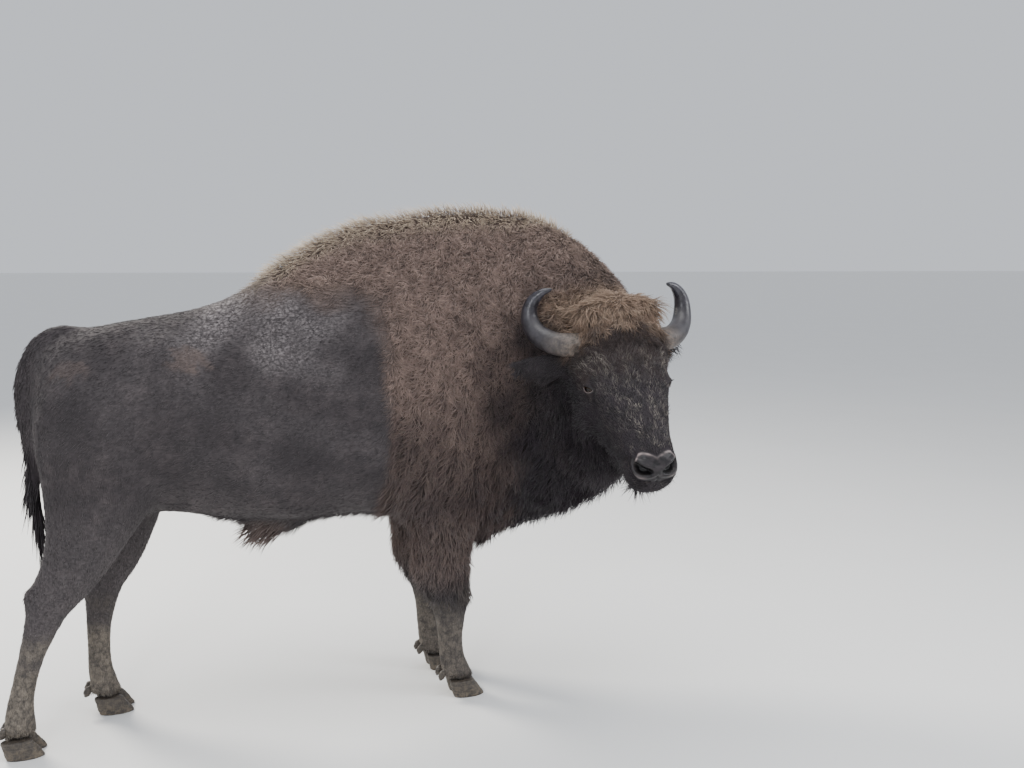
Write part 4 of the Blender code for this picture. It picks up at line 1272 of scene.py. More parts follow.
class Tree:
    """A node tree being built: add makes a node and sets or links its inputs."""

    def __init__(self, tree):
        self.tree = tree
        self.tree.nodes.clear()

    def add(self, kind, inputs=None, **settings):
        node = self.tree.nodes.new(kind)
        for name, value in settings.items():
            setattr(node, name, value)
        for name, value in (inputs or {}).items():
            socket = node.inputs[name]
            if isinstance(value, bpy.types.NodeSocket):
                self.tree.links.new(value, socket)
            else:
                socket.default_value = value
        return node

    def share(self, name):
        return self.add("ShaderNodeAttribute", attribute_name=name).outputs["Fac"]

    def math(self, operation, a, b=0.0, clamp=False):
        return self.add("ShaderNodeMath", {0: a, 1: b}, operation=operation, use_clamp=clamp).outputs[0]

    def times(self, a, b, clamp=False):
        return self.math("MULTIPLY", a, b, clamp)

    def vector(self, operation, a, b):
        return self.add("ShaderNodeVectorMath", {0: a, 1: b}, operation=operation).outputs[0]

    def mix(self, share, a, b, blend="MIX"):
        node = self.add("ShaderNodeMix", {0: share, 6: a, 7: b}, data_type="RGBA", blend_type=blend)
        return node.outputs[2]

    def between(self, share, a, b):
        return self.add("ShaderNodeMix", {0: share, 2: a, 3: b}, data_type="FLOAT").outputs[0]

    def shaded(self, share, tint):
        """The colour with all three of its levels multiplied by the share."""
        grey = self.add("ShaderNodeCombineColor", {0: share, 1: share, 2: share}).outputs[0]
        return self.mix(1.0, tint, grey, "MULTIPLY")

    def noise(self, scale, detail=2.0, rough=0.5, vector=None, distortion=0.0):
        inputs = {"Scale": scale, "Detail": detail, "Roughness": rough, "Distortion": distortion}
        if vector is not None:
            inputs["Vector"] = vector
        return self.add("ShaderNodeTexNoise", inputs).outputs["Fac"]

    def cells(self, scale, vector, feature):
        inputs = {"Vector": vector, "Scale": scale}
        return self.add("ShaderNodeTexVoronoi", inputs, feature=feature).outputs["Distance"]

    def spread(self, value, low, high, to_low=0.0, to_high=1.0):
        node = self.add("ShaderNodeMapRange", {0: value, 1: low, 2: high, 3: to_low, 4: to_high}, clamp=True)
        return node.outputs[0]

    def object_place(self):
        return self.add("ShaderNodeTexCoord").outputs["Object"]

    def stretched(self, scale, turn=(0, 0, 0)):
        inputs = {"Vector": self.object_place(), "Scale": scale, "Rotation": turn}
        return self.add("ShaderNodeMapping", inputs).outputs[0]


def colour(red, green, blue):
    """A colour as it looks on a screen, from 0 to 255, as the shader wants it."""
    levels = [level / 255 for level in (red, green, blue)]
    return (*(c / 12.92 if c <= 0.04045 else ((c + 0.055) / 1.055) ** 2.4 for c in levels), 1.0)


COLOURS = {
    "rear": colour(57, 52, 54),
    "rear_worn": colour(78, 71, 72),
    "mane": colour(152, 131, 121),
    "mane_deep": colour(112, 95, 88),
    "dark": colour(30, 24, 28),
    "dark_grey": colour(52, 43, 50),
    "crown": colour(130, 108, 92),
    "crown_pale": colour(172, 150, 130),
    # pale tips, brightened into painted rim light
    "ridge": colour(213, 197, 172),
    "dust": colour(166, 158, 158),
    # pale hairs, bright as painted glints
    "fleck_and_glint": colour(164, 156, 144),
    "mud": colour(144, 134, 121),
    "mud_dark": colour(78, 73, 68),
}


def coat_colours():
    """The colours of the coat, as a group that skin and coat share. It reads the shares of the markings."""
    group = bpy.data.node_groups.new("coat_colours", "ShaderNodeTree")
    group.interface.new_socket("Colour", in_out="OUTPUT", socket_type="NodeSocketColor")
    t = Tree(group)
    place = t.object_place()
    broad = t.spread(t.noise(5.0, 3.0, 0.6, place), 0.35, 0.65)
    patchy = t.spread(t.noise(22.0, 3.0, 0.65, place), 0.36, 0.64)
    fine = t.noise(120.0, 2.0, 0.6, place)
    made = t.mix(t.times(broad, patchy), COLOURS["rear"], COLOURS["rear_worn"])
    # the dark share carries painted shade behind the crown and in the tail's crease as well as dark hair
    patches = (("mane", "mane_deep", 0.75), ("dark", "dark_grey", 0.6), ("crown", "crown_pale", 0.7))
    for mark, patch, most in patches:
        patched = t.mix(t.times(patchy, most), COLOURS[mark], COLOURS[patch])
        made = t.mix(t.share(mark), made, patched)
    clouds = t.add("ShaderNodeTexNoise", {"Vector": place, "Scale": 30.0}).outputs["Color"]
    cracks = t.spread(t.cells(50.0, t.mix(0.03, place, clouds), "DISTANCE_TO_EDGE"), 0.02, 0.16, 0.75, 0.0)
    broken = t.times(cracks, t.spread(t.share("dust"), 0.30, 0.60))
    dust = t.times(t.share("dust"), t.math("SUBTRACT", 1.0, broken))
    dust = t.times(dust, t.spread(fine, 0.30, 0.62), True)
    made = t.mix(t.times(dust, 0.78), made, COLOURS["dust"])
    caked = t.spread(t.noise(34.0, 5.0, 0.75, place), 0.32, 0.60)
    caked = t.math("SUBTRACT", caked, t.times(cracks, 0.45), True)
    mud = t.mix(caked, COLOURS["mud_dark"], COLOURS["mud"])
    made = t.mix(t.times(t.share("mud"), 0.85), made, mud)
    t.add("NodeGroupOutput", {"Colour": made})
    return group


def principled(name, tree_of):
    made = bpy.data.materials.new(name)
    made.use_nodes = True
    t = Tree(made.node_tree)
    shader = t.add("ShaderNodeBsdfPrincipled")
    t.add("ShaderNodeOutputMaterial", {"Surface": shader.outputs[0]})
    for socket, value in tree_of(t).items():
        if isinstance(value, bpy.types.NodeSocket):
            made.node_tree.links.new(value, shader.inputs[socket])
        else:
            shader.inputs[socket].default_value = value
    return made


def bump(t, height, strength, distance):
    return t.add("ShaderNodeBump", {"Height": height, "Strength": strength, "Distance": distance}).outputs[0]


COAT_GROUP = coat_colours()


def tuft_look(t):
    made = t.add("ShaderNodeGroup", node_tree=COAT_GROUP).outputs[0]
    tip, tone = t.share("tip"), t.share("tone")
    # pale tips along the ridge, with painted rim light on the outer part of each tuft
    rim_lit_tip = t.times(t.share("ridge"), t.spread(tip, 0.15, 0.70), True)
    made = t.mix(t.times(rim_lit_tip, 0.76), made, COLOURS["ridge"])
    # pale hairs of the face, brightened as painted glints
    pale_hair_and_glint = t.times(t.share("fleck_and_glint"), t.spread(tone, 0.60, 0.86), True)
    made = t.mix(t.times(pale_hair_and_glint, 0.75), made, COLOURS["fleck_and_glint"])
    # painted shade: each tuft darker towards its root, deep in the coat, and varied by a random tone
    shade = t.times(t.spread(tip, 0.0, 0.75, 0.50, 1.10), t.spread(tone, 0.0, 1.0, 0.80, 1.20))
    hairs = t.noise(420.0, 2.0, 0.6, t.object_place())
    return {
        "Base Color": t.shaded(shade, made),
        "Roughness": t.spread(t.noise(60.0, 2.0, 0.5, t.object_place()), 0.3, 0.7, 0.68, 0.90),
        "Specular IOR Level": 0.12,
        "Sheen Weight": 0.10,
        "Sheen Roughness": 0.55,
        "Normal": bump(t, hairs, 0.5, 0.0008),
    }


def hide_hairs(t, place):
    """Fine streaks of hair: along the body, down the legs and down the face."""
    along_body = t.noise(1.0, 3.0, 0.6, t.stretched((55.0, 300.0, 190.0), (0, math.radians(-25), 0)), 0.4)
    along_leg = t.noise(1.0, 3.0, 0.6, t.stretched((320.0, 320.0, 60.0)), 0.4)
    hairs = t.between(t.share("mud"), along_body, along_leg)
    turned = t.add(
        "ShaderNodeMapping",
        {"Vector": place, "Rotation": tuple(HEAD_MATRIX.to_euler()), "Scale": (1 / 70, 1 / 420, 1 / 420)},
        vector_type="TEXTURE",
    ).outputs[0]
    return t.between(t.share("face"), hairs, t.noise(1.0, 3.0, 0.6, turned, 0.4))


def nose_colour(t, blotch):
    nose = t.mix(blotch, colour(25, 22, 24), colour(45, 40, 42))
    # pale edges of pad, nostrils and lower lids: paler skin with a painted highlight of wet skin
    nose = t.mix(t.times(t.share("pale_rim_and_glint"), 0.85), nose, colour(146, 132, 129))
    # painted shade deep inside the nostrils
    return t.mix(t.share("hollow"), nose, colour(10, 8, 9))


def hide_look(t):
    made = t.add("ShaderNodeGroup", node_tree=COAT_GROUP).outputs[0]
    place = t.object_place()
    hairs = hide_hairs(t, place)
    # painted shade under the coat: the hide streaked with hair and darkened, and darker still under the wool
    shade_under_wool = t.spread(t.share("mane"), 0.2, 0.9, 1.0, 0.60)
    made = t.shaded(t.times(t.spread(hairs, 0.30, 0.70, 0.42, 0.92), shade_under_wool), made)
    bare = t.share("bare")
    pores = t.times(t.cells(260.0, place, "SMOOTH_F1"), 0.55)
    blotch = t.spread(t.noise(60.0, 3.0, 0.6, place), 0.40, 0.62)
    return {
        "Base Color": t.mix(bare, made, nose_colour(t, blotch)),
        "Roughness": t.between(bare, 0.85, t.spread(blotch, 0, 1, 0.34, 0.52)),
        "Specular IOR Level": 0.35,
        "Normal": bump(t, t.between(bare, hairs, pores), 0.55, 0.0016),
    }


TUFTS = principled("tufts", tuft_look)
HIDE = principled("hide", hide_look)


def dress(piece, material):
    piece.data.materials.clear()
    piece.data.materials.append(material)


dress(skin, HIDE)
for piece in coat:
    dress(piece, TUFTS)
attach(skin, "root")
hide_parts(*FLESH)


# ---- horns -------------------------------------------------------------------------------------------

HORN_LINE = [  # along, left and out of the head
    (0.004, 0.096, -0.027),
    (0.004, 0.110, -0.028),
    (-0.006, 0.162, -0.034),
    (-0.038, 0.222, -0.054),
    (-0.092, 0.270, -0.062),
    (-0.146, 0.290, -0.044),
    (-0.182, 0.283, -0.006),
    (-0.196, 0.252, 0.034),
    (-0.192, 0.214, 0.058),
]


def spline_points(points, count):
    """Points on a smooth curve through the given ones."""
    table = np.array(points, float)
    knots = np.concatenate([[0], np.cumsum(np.linalg.norm(np.diff(table, axis=0), axis=1))])
    padded = np.vstack([2 * table[0] - table[1], table, 2 * table[-1] - table[-2]])
    made = []
    for at in np.linspace(0, knots[-1], count):
        k = min(int(np.searchsorted(knots, at, side="right")) - 1, len(table) - 2)
        t = (at - knots[k]) / (knots[k + 1] - knots[k])
        a, b, c, d = padded[k : k + 4]
        made.append(
            0.5 * (2 * b + (c - a) * t + (2 * a - 5 * b + 4 * c - d) * t**2 + (3 * b - a - 3 * c + d) * t**3)
        )
    return made


def named_tree(name, sockets):
    """A new Geometry Nodes tree with a geometry input and named ones, and the ids and values of those."""
    group = bpy.data.node_groups.new(name, "GeometryNodeTree")
    group.interface.new_socket("Shape", in_out="INPUT", socket_type="NodeSocketGeometry")
    ids = {}
    for label, kind, value in sockets:
        socket = group.interface.new_socket(label, in_out="INPUT", socket_type=kind)
        if kind != "NodeSocketMaterial":
            socket.default_value = value
        ids[label] = (socket.identifier, value)
    group.interface.new_socket("Made", in_out="OUTPUT", socket_type="NodeSocketGeometry")
    tree = Tree(group)
    given = tree.add("NodeGroupInput").outputs
    return group, tree, given, ids


def through_tree(made, group, ids):
    """Runs an object's mesh through a tree and keeps the result as its plain mesh."""
    modifier = made.modifiers.new(group.name, "NODES")
    modifier.node_group = group
    for identifier, value in ids.values():
        modifier[identifier] = value
    finished_mesh(made)


def line_object(name, points):
    mesh = bpy.data.meshes.new(name)
    mesh.from_pydata([tuple(p) for p in points], [(i, i + 1) for i in range(len(points) - 1)], [])
    return new_object(name, mesh)


def horn_radius(t, share, base_radius):
    """The radius along a horn: a taper that quickens, and a rounded end."""
    quick = t.times(t.math("POWER", share, 4.0), 0.60)
    taper = t.math("SUBTRACT", t.math("SUBTRACT", 1.0, t.times(share, 0.30)), quick)
    end = t.spread(share, 0.975, 1.0, 1.0, 0.0)
    left_over = t.math("SUBTRACT", 1.0, t.math("POWER", t.math("SUBTRACT", 1.0, end), 2.0))
    return t.times(t.times(base_radius, taper), t.math("POWER", left_over, 0.5))


def ring_height(t, given):
    """How far the growth rings stand out, fading towards the tip, with a slow unevenness under them."""
    up_horn = t.add("GeometryNodeInputNamedAttribute", {"Name": "up_horn"}, data_type="FLOAT").outputs[0]
    run = t.add("GeometryNodeInputNamedAttribute", {"Name": "length"}, data_type="FLOAT").outputs[0]
    place = t.add("GeometryNodeInputPosition").outputs[0]
    wobble = t.times(t.noise(38.0, 2.0, 0.5, place), 5.0)
    turns = t.times(t.math("DIVIDE", run, given["Ridge Spacing"]), 2 * math.pi)
    ridge = t.math("SINE", t.math("ADD", turns, wobble))
    broken = t.spread(t.noise(24.0, 2.0, 0.6, place), 0.35, 0.65)
    fade = t.times(t.spread(up_horn, 0.0, 0.62, 1.0, 0.0), broken)
    height = t.times(t.times(ridge, fade), given["Ridge Height"])
    uneven = t.times(t.math("SUBTRACT", t.noise(30.0, 3.0, 0.55, place), 0.5), given["Unevenness"])
    return t.times(t.math("ADD", height, uneven), t.spread(up_horn, 0.80, 0.97, 1.0, 0.0))


def horn_tree(name, material):
    """Sweeps a horn on its centre line, with growth rings."""
    sockets = [
        ("Steps Along", "NodeSocketInt", 230),
        ("Steps Round", "NodeSocketInt", 40),
        ("Base Radius", "NodeSocketFloat", HORN_RADIUS),
        ("Ridge Height", "NodeSocketFloat", 0.0009),
        ("Ridge Spacing", "NodeSocketFloat", 0.0105),
        ("Unevenness", "NodeSocketFloat", 0.0022),
        ("Finish", "NodeSocketMaterial", material),
    ]
    group, t, given, ids = named_tree(name, sockets)
    line = t.add("GeometryNodeMeshToCurve", {"Mesh": given["Shape"]}).outputs[0]
    line = t.add("GeometryNodeResampleCurve", {"Curve": line, "Count": given["Steps Along"]}).outputs[0]
    along = t.add("GeometryNodeSplineParameter").outputs
    for kept, value in (("up_horn", along["Factor"]), ("length", along["Length"])):
        inputs = {"Geometry": line, "Name": kept, "Value": value}
        line = t.add("GeometryNodeStoreNamedAttribute", inputs, data_type="FLOAT").outputs[0]
    radius = horn_radius(t, along["Factor"], given["Base Radius"])
    circle = t.add("GeometryNodeCurvePrimitiveCircle", {"Resolution": given["Steps Round"], "Radius": 1.0})
    inputs = {"Curve": line, "Profile Curve": circle.outputs[0], "Scale": radius, "Fill Caps": True}
    swept = t.add("GeometryNodeCurveToMesh", inputs).outputs[0]
    normal = t.add("GeometryNodeInputNormal").outputs["Normal"]
    offset = t.add("ShaderNodeVectorMath", {0: normal, "Scale": ring_height(t, given)}, operation="SCALE")
    swept = t.add("GeometryNodeSetPosition", {"Geometry": swept, "Offset": offset.outputs[0]}).outputs[0]
    swept = t.add("GeometryNodeSetShadeSmooth", {"Geometry": swept}).outputs[0]
    swept = t.add("GeometryNodeRealizeInstances", {"Geometry": swept}).outputs[0]
    swept = t.add("GeometryNodeSetMaterial", {"Geometry": swept, "Material": given["Finish"]}).outputs[0]
    t.add("NodeGroupOutput", {"Made": swept})
    return group, ids


def horn(side_name, material):
    side = SIDES[side_name]
    name = f"horn_{side_name}_shaped"
    made = line_object(name, [on_head(a, side * l, o) for a, l, o in spline_points(HORN_LINE, 60)])
    group, ids = horn_tree(name, material)
    through_tree(made, group, ids)
    outwards(made)
    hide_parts(f"horn_{side_name}")
    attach(made, "root")
    return made


def outwards(made):
    """Joins doubles and turns all faces outwards."""
    bm = bmesh.new()
    bm.from_mesh(made.data)
    bmesh.ops.remove_doubles(bm, verts=bm.verts, dist=2e-5)
    bmesh.ops.recalc_face_normals(bm, faces=bm.faces)
    if bm.calc_volume(signed=True) < 0:
        bmesh.ops.reverse_faces(bm, faces=bm.faces)
    bm.to_mesh(made.data)
    bm.free()
    made.data.shade_smooth()


def horn_look(t):
    place = t.object_place()
    rough_base = t.spread(t.noise(46.0, 4.0, 0.65, place), 0.38, 0.62)
    base = t.mix(rough_base, colour(68, 60, 55), colour(116, 104, 95))
    base = t.mix(t.spread(t.noise(190.0, 3.0, 0.7, place), 0.56, 0.72), base, colour(134, 122, 104))
    cloudy = t.spread(t.noise(26.0, 3.0, 0.6, place), 0.38, 0.62)
    middle = t.mix(cloudy, colour(35, 33, 37), colour(57, 54, 58))
    cloudy = t.spread(t.noise(60.0, 2.0, 0.5, place), 0.4, 0.6)
    tip = t.mix(cloudy, colour(36, 35, 41), colour(62, 60, 68))
    ragged = t.times(t.math("SUBTRACT", t.noise(9.0, 2.0, 0.5, place), 0.5), 0.22)
    worn = t.math("ADD", t.share("up_horn"), ragged)
    made = t.mix(t.spread(worn, 0.12, 0.42), base, middle)
    made = t.mix(t.spread(worn, 0.62, 0.90), made, tip)
    fibres = t.noise(1.0, 2.0, 0.6, t.stretched((260.0, 260.0, 38.0), (0.5, 0.3, 0.0)), 0.6)
    made = t.mix(t.spread(fibres, 0.40, 0.70, 0.0, 0.30), made, colour(48, 44, 46))
    grain = t.math("ADD", t.times(rough_base, 0.5), fibres)
    return {
        "Base Color": made,
        "Roughness": t.spread(worn, 0.10, 0.85, 0.62, 0.24),
        "Specular IOR Level": 0.5,
        "Coat Weight": 0.06,
        "Coat Roughness": 0.20,
        "Normal": bump(t, grain, 0.45, 0.0012),
    }


HORN = principled("horn_sheath", horn_look)
for side_name in SIDES:
    horn(side_name, HORN)


# ---- hooves ------------------------------------------------------------------------------------------


HOOF_GRIDS = {"claw": 0.0031, "dewclaw": 0.0024}  # between the points of the grid on which each is made
RING_SPACINGS = (0.0072, 0.0031)  # between a hoof's broad growth rings, and between its fine ones
GROWTH_DEPTH = 0.00042
STANDS_ON = 0.0035  # how much of a claw's foot is flat


def growth_of_hoof(points):
    """How far the rings and the slow unevenness of a hoof's wall stand out at the points."""
    broad, fine = RING_SPACINGS
    level = points[:, 2] + 0.16 * (points[:, 0] - points[:, 0].mean())
    bend = 1.1 * waves(points, 0.05, 41)
    rings = np.sin(level * (2 * math.pi / broad) + bend)
    rings = rings + 0.5 * np.sin(level * (2 * math.pi / fine) + 2 * bend)
    return GROWTH_DEPTH * rings + 0.0007 * waves(points, 0.022, 42)


def hoof(node_name, material, spacing):
    """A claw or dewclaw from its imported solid: rounded, ringed as it grew, and flat where it stands."""
    made = object_from(node_name + "_shaped", node_copy(node_name))
    mesh = made_on_grid(made, spacing)
    web = Web(mesh)
    before = places(mesh)
    normals = web.smoothed(normals_of(before, triangles_of(mesh)), 3)
    points = web.smoothed(before, 9)
    lost = web.smoothed(dot(before - points, unit(normals)), 6)
    points = points + unit(normals) * lost[:, None]
    standing = node_name.startswith("claw")
    wall = ramp(points[:, 2], 0.004, 0.014) if standing else np.ones(len(points))
    points = points + unit(normals) * (wall * growth_of_hoof(points))[:, None]
    if standing:
        low_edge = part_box(node_name)[0].z
        flat = before[:, 2] < low_edge + STANDS_ON
        points[flat, 2] = low_edge
        points[:, 2] = np.maximum(points[:, 2], low_edge)
    set_places(mesh, points)
    outwards(made)
    dress(made, material)
    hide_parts(node_name)
    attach(made, "root")
    return made


def hoof_look(t):
    place = t.object_place()
    height = t.add("ShaderNodeSeparateXYZ", {0: place}).outputs[2]
    rings = t.noise(1.0, 3.0, 0.6, t.stretched((14.0, 14.0, 420.0)), 0.3)
    fibres = t.noise(1.0, 2.0, 0.6, t.stretched((300.0, 300.0, 40.0)), 0.3)
    wall = t.mix(t.spread(rings, 0.35, 0.65), colour(40, 36, 34), colour(74, 67, 60))
    wall = t.mix(t.spread(fibres, 0.5, 0.75, 0.0, 0.5), wall, colour(96, 88, 78))
    caked = t.spread(t.noise(70.0, 4.0, 0.7, place), 0.44, 0.60)
    mud = t.mix(t.noise(210.0, 2.0, 0.6, place), colour(92, 82, 70), colour(134, 122, 106))
    low_down = t.times(caked, t.spread(height, 0.0, 0.060, 0.80, 0.15))
    grain = t.math("ADD", t.times(rings, 0.7), t.times(caked, 0.8))
    return {
        "Base Color": t.mix(low_down, wall, mud),
        "Roughness": t.spread(low_down, 0.0, 0.8, 0.42, 0.86),
        "Specular IOR Level": 0.4,
        "Normal": bump(t, grain, 0.6, 0.0015),
    }


HOOF = principled("hoof_horn", hoof_look)
for name in NODES:
    grid = HOOF_GRIDS.get(name.split("_")[0])
    if grid:
        hoof(name, HOOF, grid)


# ---- eyes --------------------------------------------------------------------------------------------


def pupil_share(t, u, v):
    """1 on the wide, low pupil."""
    wide = t.math("POWER", t.math("DIVIDE", t.math("ABSOLUTE", u), 0.42), 2.4)
    high = t.math("POWER", t.math("DIVIDE", t.math("ABSOLUTE", v), 0.17), 2.4)
    return t.spread(t.math("ADD", wide, high), 0.85, 1.15, 1.0, 0.0)


def eye_look(t):
    u, v = t.share("eye_u"), t.share("eye_v")
    off = t.math("SQRT", t.math("ADD", t.times(u, u), t.times(v, v)))
    angle = t.times(t.math("ARCTAN2", v, u), 9.0)
    rays = t.add("ShaderNodeCombineXYZ", {0: angle, 1: t.times(off, 1.6), 2: 0.0}).outputs[0]
    threads = t.noise(1.0, 3.0, 0.6, rays)
    iris = t.mix(t.spread(threads, 0.35, 0.65), colour(20, 14, 11), colour(44, 31, 23))
    iris = t.mix(t.spread(off, 0.56, 0.70), iris, colour(18, 13, 11))
    veins = t.spread(t.noise(170.0, 4.0, 0.7, t.object_place()), 0.50, 0.64)
    white = t.mix(veins, colour(150, 136, 124), colour(118, 88, 78))
    white = t.mix(t.spread(off, 0.74, 0.90, 0.90, 0.45), white, colour(44, 32, 27))
    made = t.mix(t.spread(off, 0.70, 0.76), iris, white)
    return {
        "Base Color": t.mix(pupil_share(t, u, v), made, (0.0018, 0.0018, 0.0025, 1)),
        "Roughness": t.spread(threads, 0.3, 0.7, 0.10, 0.16),
        "Specular IOR Level": 0.22,
        "Coat Weight": 0.08,
        "Coat Roughness": 0.03,
        "Normal": bump(t, veins, 0.05, 0.0002),
    }


EYE = principled("eye_wet", eye_look)


def eyeball_piece(side_name):
    """A ball with a slight swell over the pupil, and its places across and up the pupil kept on it."""
    centre, radius, forward, up, outward = (np.array(value) for value in eyes[side_name])
    bm = bmesh.new()
    bmesh.ops.create_uvsphere(bm, u_segments=72, v_segments=48, radius=1.0)
    mesh = bpy.data.meshes.new(f"eyeball_{side_name}")
    bm.to_mesh(mesh)
    bm.free()
    ball = places(mesh)
    off = np.hypot(ball[:, 0], ball[:, 1])
    along_lids = forward * math.cos(EYE_TILT) + up * math.sin(EYE_TILT)
    across_lids = up * math.cos(EYE_TILT) - forward * math.sin(EYE_TILT)
    swell = 1 + 0.035 * ramp(off, 0.62, 0.35) * (ball[:, 2] > 0)
    grown = ball * swell[:, None] * radius
    set_places(mesh, centre + grown @ np.array([along_lids, across_lids, outward]))
    from_pupil = np.where(ball[:, 2] < 0, 2.0 - off, off)
    way = unit(ball[:, :2] + 1e-9)
    hold(mesh, "eye_u", way[:, 0] * from_pupil)
    hold(mesh, "eye_v", way[:, 1] * from_pupil)
    made = new_object(f"eyeball_{side_name}", mesh)
    outwards(made)
    dress(made, EYE)
    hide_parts(f"eye_{side_name}")
    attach(made, "root")
    return made


for side_name in SIDES:
    eyeball_piece(side_name)


# ---- lashes and bristles -----------------------------------------------------------------------------


def bristle_tree(name, material, number, length, thickness, sweep, middle=None):
    """Straight tapering bristles: a number in a row on a line, pointing away from a middle, or else scattered
    on a surface, a number on each square metre."""
    in_a_row = middle is not None
    sockets = [
        ("Number", "NodeSocketInt" if in_a_row else "NodeSocketFloat", number),
        ("Bristle Length", "NodeSocketFloat", length),
        ("Bristle Thickness", "NodeSocketFloat", thickness),
        ("Sweep", "NodeSocketVector", sweep),
        ("Middle", "NodeSocketVector", middle or (0, 0, 0)),
        ("Seed", "NodeSocketInt", 7),
        ("Finish", "NodeSocketMaterial", material),
    ]
    group, t, given, ids = named_tree(name, sockets)
    if in_a_row:
        line = t.add("GeometryNodeMeshToCurve", {"Mesh": given["Shape"]}).outputs[0]
        grown_from = t.add("GeometryNodeResampleCurve", {"Curve": line, "Count": given["Number"]}).outputs[0]
        position = t.add("GeometryNodeInputPosition").outputs[0]
        way = t.vector("SUBTRACT", position, given["Middle"])
        way = t.add("ShaderNodeVectorMath", {0: way}, operation="NORMALIZE").outputs[0]
    else:
        inputs = {"Mesh": given["Shape"], "Density": given["Number"], "Seed": given["Seed"]}
        spread = t.add("GeometryNodeDistributePointsOnFaces", inputs, distribute_method="RANDOM")
        grown_from, way = spread.outputs["Points"], spread.outputs["Normal"]
    inputs = {0: (-0.22,) * 3, 1: (0.22,) * 3, "Seed": given["Seed"]}
    stray = t.add("FunctionNodeRandomValue", inputs, data_type="FLOAT_VECTOR").outputs[0]
    way = t.vector("ADD", t.vector("ADD", way, given["Sweep"]), stray)
    turn = t.add("FunctionNodeAlignRotationToVector", {"Vector": way}, axis="Z").outputs[0]
    vary = t.add("FunctionNodeRandomValue", {2: 0.65, 3: 1.2, "Seed": 3}, data_type="FLOAT").outputs[1]
    thick = given["Bristle Thickness"]
    inputs = {0: thick, 1: thick, 2: t.times(given["Bristle Length"], vary)}
    scale = t.add("ShaderNodeCombineXYZ", inputs).outputs[0]
    inputs = {"Vertices": 4, "Side Segments": 1, "Radius Top": 0.0, "Radius Bottom": 1.0, "Depth": 1.0}
    cone = t.add("GeometryNodeMeshCone", inputs).outputs["Mesh"]
    inputs = {"Points": grown_from, "Instance": cone, "Rotation": turn, "Scale": scale}
    many = t.add("GeometryNodeInstanceOnPoints", inputs).outputs[0]
    many = t.add("GeometryNodeRealizeInstances", {"Geometry": many}).outputs[0]
    many = t.add("GeometryNodeSetMaterial", {"Geometry": many, "Material": given["Finish"]}).outputs[0]
    t.add("NodeGroupOutput", {"Made": many})
    return group, ids


def bristle_look(t):
    shade = t.spread(t.noise(90.0, 2.0, 0.6, t.object_place()), 0.35, 0.65)
    return {
        "Base Color": t.mix(shade, colour(24, 20, 20), colour(62, 54, 52)),
        "Roughness": t.spread(shade, 0, 1, 0.40, 0.60),
        "Specular IOR Level": 0.4,
        "Normal": bump(t, shade, 0.2, 0.0003),
    }


BRISTLE = principled("bristle", bristle_look)


def finish_bristles(made):
    dress(made, BRISTLE)
    made.data.polygons.foreach_set("material_index", np.zeros(len(made.data.polygons), np.int32))
    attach(made, "root")


def lashes(side_name):
    centre, radius, forward, up, outward = eyes[side_name]
    angles = np.radians(np.linspace(18, 160, 30))
    u, v = almond(angles)
    row = []
    for a, b in zip(u * 1.03, v * 1.06):
        level = height_over_eye(math.hypot(a, b), radius, 0.0022)
        row.append(centre + forward * a + up * b + outward * level)
    made = line_object(f"lashes_{side_name}", row)
    sweep = tuple(up * 0.15 - forward * 0.10 + outward * 0.10)
    group, ids = bristle_tree(made.name, BRISTLE, 64, 0.0095, 0.00038, sweep, tuple(centre))
    through_tree(made, group, ids)
    finish_bristles(made)


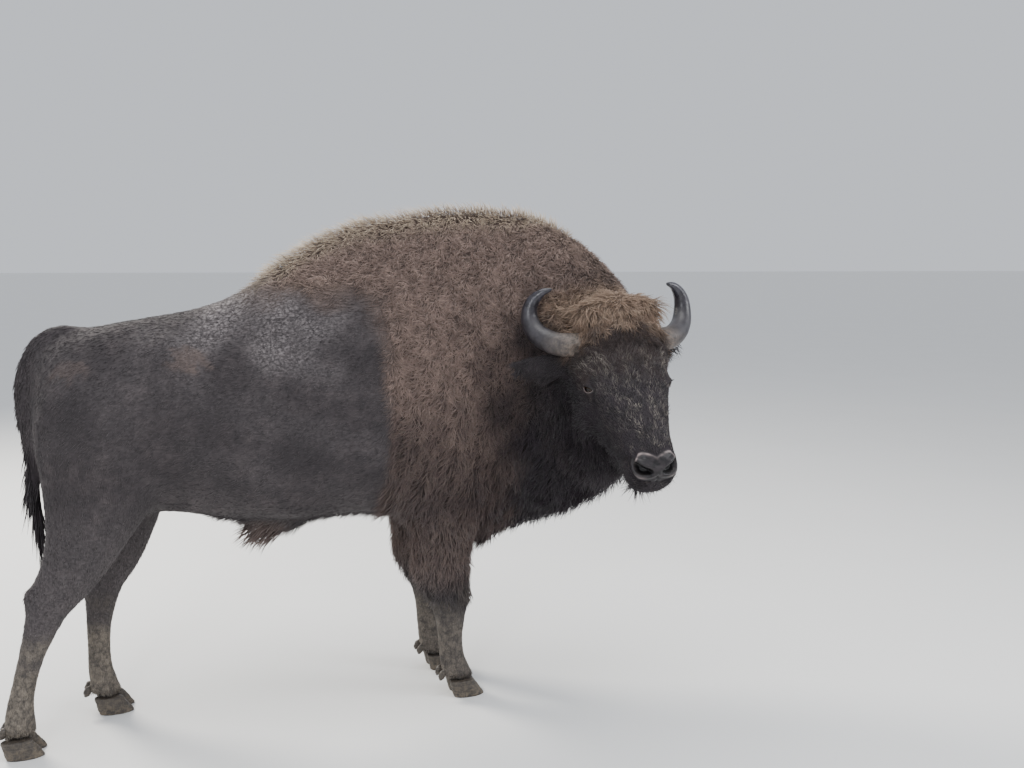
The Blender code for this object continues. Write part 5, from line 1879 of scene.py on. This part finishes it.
def muzzle_bristles():
    """Sparse stiff hairs on lips and chin."""
    centres = skin_points[skin_tris].mean(1)
    along, left, out = in_head(centres)
    near_lips = (np.abs(out - mouth_level(along, left)) < 0.040) & (along > 0.455) & (along < MUZZLE_END)
    near_lips &= (skin_marks["bare"][skin_tris].max(1) < 0.4) & (np.abs(left) < 0.13)
    mesh = bpy.data.meshes.new("muzzle_bristles")
    mesh.from_pydata(skin_points.tolist(), [], skin_tris[near_lips].tolist())
    made = new_object("muzzle_bristles", mesh)
    sweep = tuple(-OUT_OF_FACE * 0.35 + ALONG_FACE * 0.10)
    group, ids = bristle_tree(made.name, BRISTLE, 9000.0, 0.020, 0.00035, sweep)
    through_tree(made, group, ids)
    finish_bristles(made)


for side_name in SIDES:
    lashes(side_name)
muzzle_bristles()


# ---- floor, light and camera -------------------------------------------------------------------------


def studio():
    bpy.ops.mesh.primitive_plane_add(size=500, location=(0, 0, -0.0005))
    floor = bpy.context.object
    floor.name = "floor"

    def look(t):
        cloudy = t.noise(1.3, 4.0, 0.55, t.object_place())
        return {"Base Color": t.mix(cloudy, (0.79, 0.79, 0.78, 1), (0.83, 0.83, 0.82, 1)), "Roughness": 0.75}

    dress(floor, principled("pale_floor", look))
    world = bpy.data.worlds.new("studio")
    bpy.context.scene.world = world
    world.use_nodes = True
    background = world.node_tree.nodes["Background"]
    background.inputs[0].default_value = (0.86, 0.90, 0.97, 1)
    background.inputs[1].default_value = 0.84
    aim = Vector((0.0, 0.0, 1.0))  # the middle of the body

    def area(name, place, size, power, tint):
        data = bpy.data.lights.new(name, "AREA")
        data.shape, data.size, data.energy, data.color = "DISK", size, power, tint
        lamp = new_object(name, data)
        lamp.location = place
        lamp.rotation_euler = (aim - Vector(place)).to_track_quat("-Z", "Y").to_euler()

    area("back_light", (-3.4, 4.6, 4.8), 2.2, 600, (1.0, 0.95, 0.86))
    area("overhead", (0.4, -0.4, 5.6), 4.5, 190, (1.0, 0.99, 0.97))
    area("front_fill", (-2.6, -4.6, 3.0), 1.5, 95, (0.95, 0.97, 1.0))
    area("side_fill", (4.6, -2.4, 3.0), 2.0, 95, (0.97, 0.98, 1.0))


def camera():
    data = bpy.data.cameras.new("camera")
    data.lens, data.sensor_width = 35.0, 36.0
    made = new_object("camera", data)
    made.location = (-0.6186, -3.3824, 1.599)
    pitch = math.radians(6.76)  # looks down, to the animal's front left
    look = Vector((0.324 * math.cos(pitch), 0.946 * math.cos(pitch), -math.sin(pitch)))
    made.rotation_euler = look.to_track_quat("-Z", "Y").to_euler()
    bpy.context.scene.camera = made


studio()
camera()
